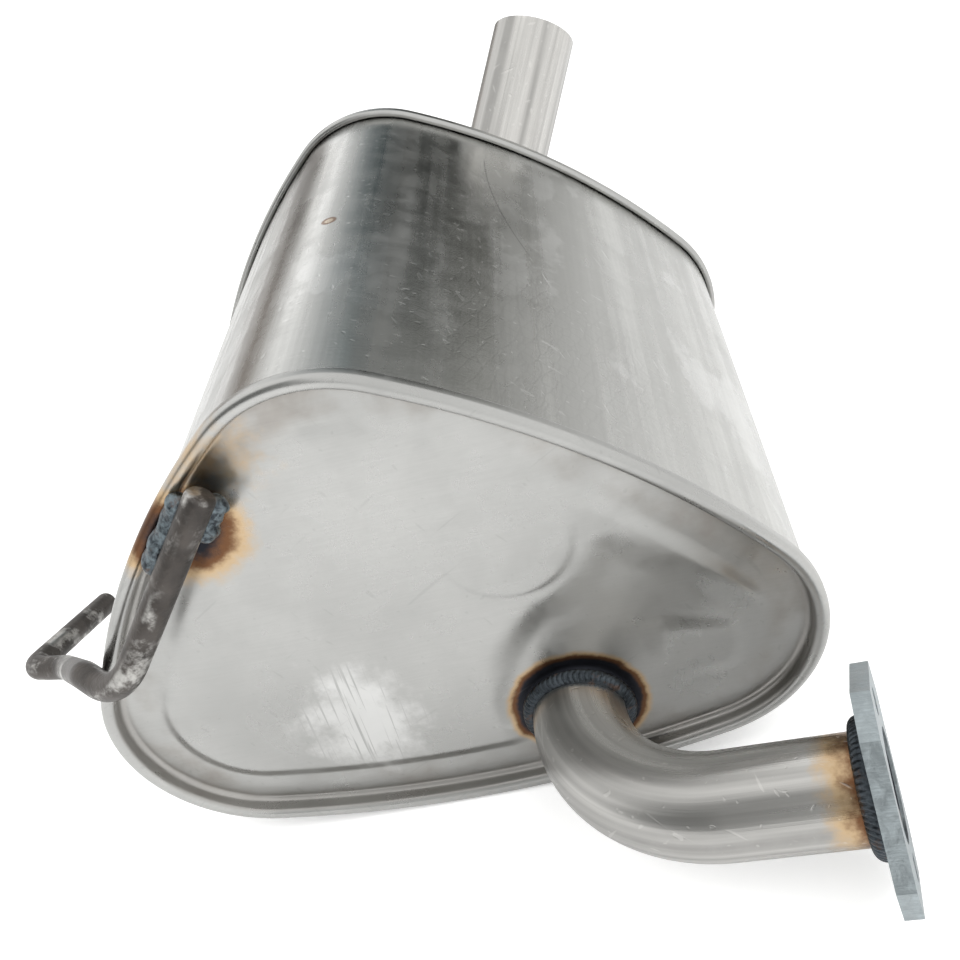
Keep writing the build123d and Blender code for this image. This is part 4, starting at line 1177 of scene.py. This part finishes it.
class MUFFLER_OT_stage(bpy.types.Operator):
    """Build the floor, the light and the camera"""
    bl_idname = "muffler.stage"
    bl_label = "Build stage"

    def execute(self, context):
        scene = context.scene
        _, colours = settings()
        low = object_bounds()[0].z - FLOOR_DROP
        corners = [(x * FLOOR_HALF, y * FLOOR_HALF, low) for x, y in ((-1, -1), (1, -1), (1, 1), (-1, 1))]
        mesh = bpy.data.meshes.new("studio_floor")
        mesh.from_pydata(corners, [], [(0, 1, 2, 3)])
        floor = bpy.data.objects.new("studio_floor", mesh)
        scene.collection.objects.link(floor)
        paint, g, shader = new_material("floor_pale", 0.9, 0.0)
        seen = g.node("ShaderNodeLightPath").outputs["Is Camera Ray"]
        g.feed(shader["Base Color"], rgba(colours.floor))
        g.feed(shader["Emission Color"], g.mix(seen, (0, 0, 0, 1), FLOOR_GLOW))
        g.feed(shader["Emission Strength"], 1.0)
        mesh.materials.append(paint)
        floor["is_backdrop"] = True
        for name, place, target, size, power in LAMPS:
            self.lamp(scene, name, place, target, size, power)
        self.sky(scene)
        data = bpy.data.cameras.new("photo_camera")
        data.lens, data.sensor_width, data.clip_start = CAMERA_LENS, CAMERA_SENSOR, CAMERA_NEAR
        camera = bpy.data.objects.new("photo_camera", data)
        scene.collection.objects.link(camera)
        turn = Matrix(np.stack((CAMERA_RIGHT, -CAMERA_DOWN, -CAMERA_LOOK), axis=1).tolist())
        camera.matrix_world = Matrix.Translation(part_point(CAMERA_PLACE)) @ turn.to_4x4()
        scene.camera = camera
        scene.view_settings.view_transform = "Standard"
        return {"FINISHED"}

    def lamp(self, scene, name, place, target, size, power):
        """Square soft lamp at place, turned to target."""
        data = bpy.data.lights.new(name, "AREA")
        data.size, data.energy = size, power
        lamp = bpy.data.objects.new(name, data)
        lamp.location = place
        lamp.visible_glossy = False
        lamp.rotation_mode = "QUATERNION"
        lamp.rotation_quaternion = (Vector(target) - Vector(place)).to_track_quat("-Z", "Y")
        scene.collection.objects.link(lamp)

    def sky(self, scene):
        """Soft studio: bands round the body's direction behind the part, a dark and a bright half before
        it, both by the ray's own direction, and plain white for the camera."""
        world = bpy.data.worlds.new("studio")
        world.use_nodes = True
        world.node_tree.nodes.clear()
        g = Graph(world.node_tree)
        way = g.split(g.node("ShaderNodeTexCoord").outputs["Generated"])
        turn = g.math("DIVIDE", g.math("ARCTAN2", way[2], way[0]), math.pi)
        ramp = g.node("ShaderNodeValToRGB", {0: g.math("ADD", g.times(turn, 0.5), 0.5)})
        elements = ramp.color_ramp.elements
        while len(elements) < len(SKY_BANDS):
            elements.new(0.5)
        for element, (place, colour) in zip(elements, SKY_BANDS):
            element.position, element.color = place, (*colour, 1.0)
        lift = g.range(way[1], 0.855, 0.925, 0.42, 1.4)
        bands = g.node("ShaderNodeGamma", {"Color": ramp.outputs[0], "Gamma": lift}).outputs[0]
        overhead = g.largest(g.range(way[1], -0.6, -0.15), g.range(way[0], -0.24, -0.12))
        light = g.mix(g.range(way[1], 0.62, 0.8), g.mix(overhead, SKY_DARK, SKY_BRIGHT), bands)
        seen = g.node("ShaderNodeLightPath").outputs["Is Camera Ray"]
        back = g.node("ShaderNodeBackground", {"Color": g.mix(seen, light, (1, 1, 1, 1)), "Strength": 1.0})
        g.node("ShaderNodeOutputWorld", {0: back.outputs[0]})
        scene.world = world


class MUFFLER_PT_panel(bpy.types.Panel):
    """Steps, sizes and colours of the muffler"""
    bl_label = "Rear muffler"
    bl_space_type = "VIEW_3D"
    bl_region_type = "UI"
    bl_category = "Muffler"

    def draw(self, context):
        for step in STEPS:
            self.layout.operator(step)
        for group in (context.scene.muffler_sizes, context.scene.muffler_colours):
            for name in group.bl_rna.properties.keys():
                if name not in ("rna_type", "name"):
                    self.layout.prop(group, name)


STEPS = ("muffler.materials", "muffler.caps", "muffler.pipes", "muffler.rod", "muffler.welds",
         "muffler.cad_finish", "muffler.stage")
CLASSES = (MufflerSizes, MufflerColours, MUFFLER_OT_materials, MUFFLER_OT_caps, MUFFLER_OT_pipes,
           MUFFLER_OT_rod, MUFFLER_OT_welds, MUFFLER_OT_cad_finish, MUFFLER_OT_stage, MUFFLER_PT_panel)


def register():
    """Register the classes and hang the settings on the scene."""
    for each in CLASSES:
        bpy.utils.register_class(each)
    bpy.types.Scene.muffler_sizes = PointerProperty(type=MufflerSizes)
    bpy.types.Scene.muffler_colours = PointerProperty(type=MufflerColours)


def unregister():
    """Take the settings off the scene and unregister the classes."""
    del bpy.types.Scene.muffler_colours
    del bpy.types.Scene.muffler_sizes
    for each in reversed(CLASSES):
        bpy.utils.unregister_class(each)


def main():
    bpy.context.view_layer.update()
    register()
    for step in STEPS:
        group, name = step.split(".")
        if getattr(getattr(bpy.ops, group), name)() != {"FINISHED"}:
            raise RuntimeError(f"step {step} didn't finish")


if __name__ == "__main__":
    main()
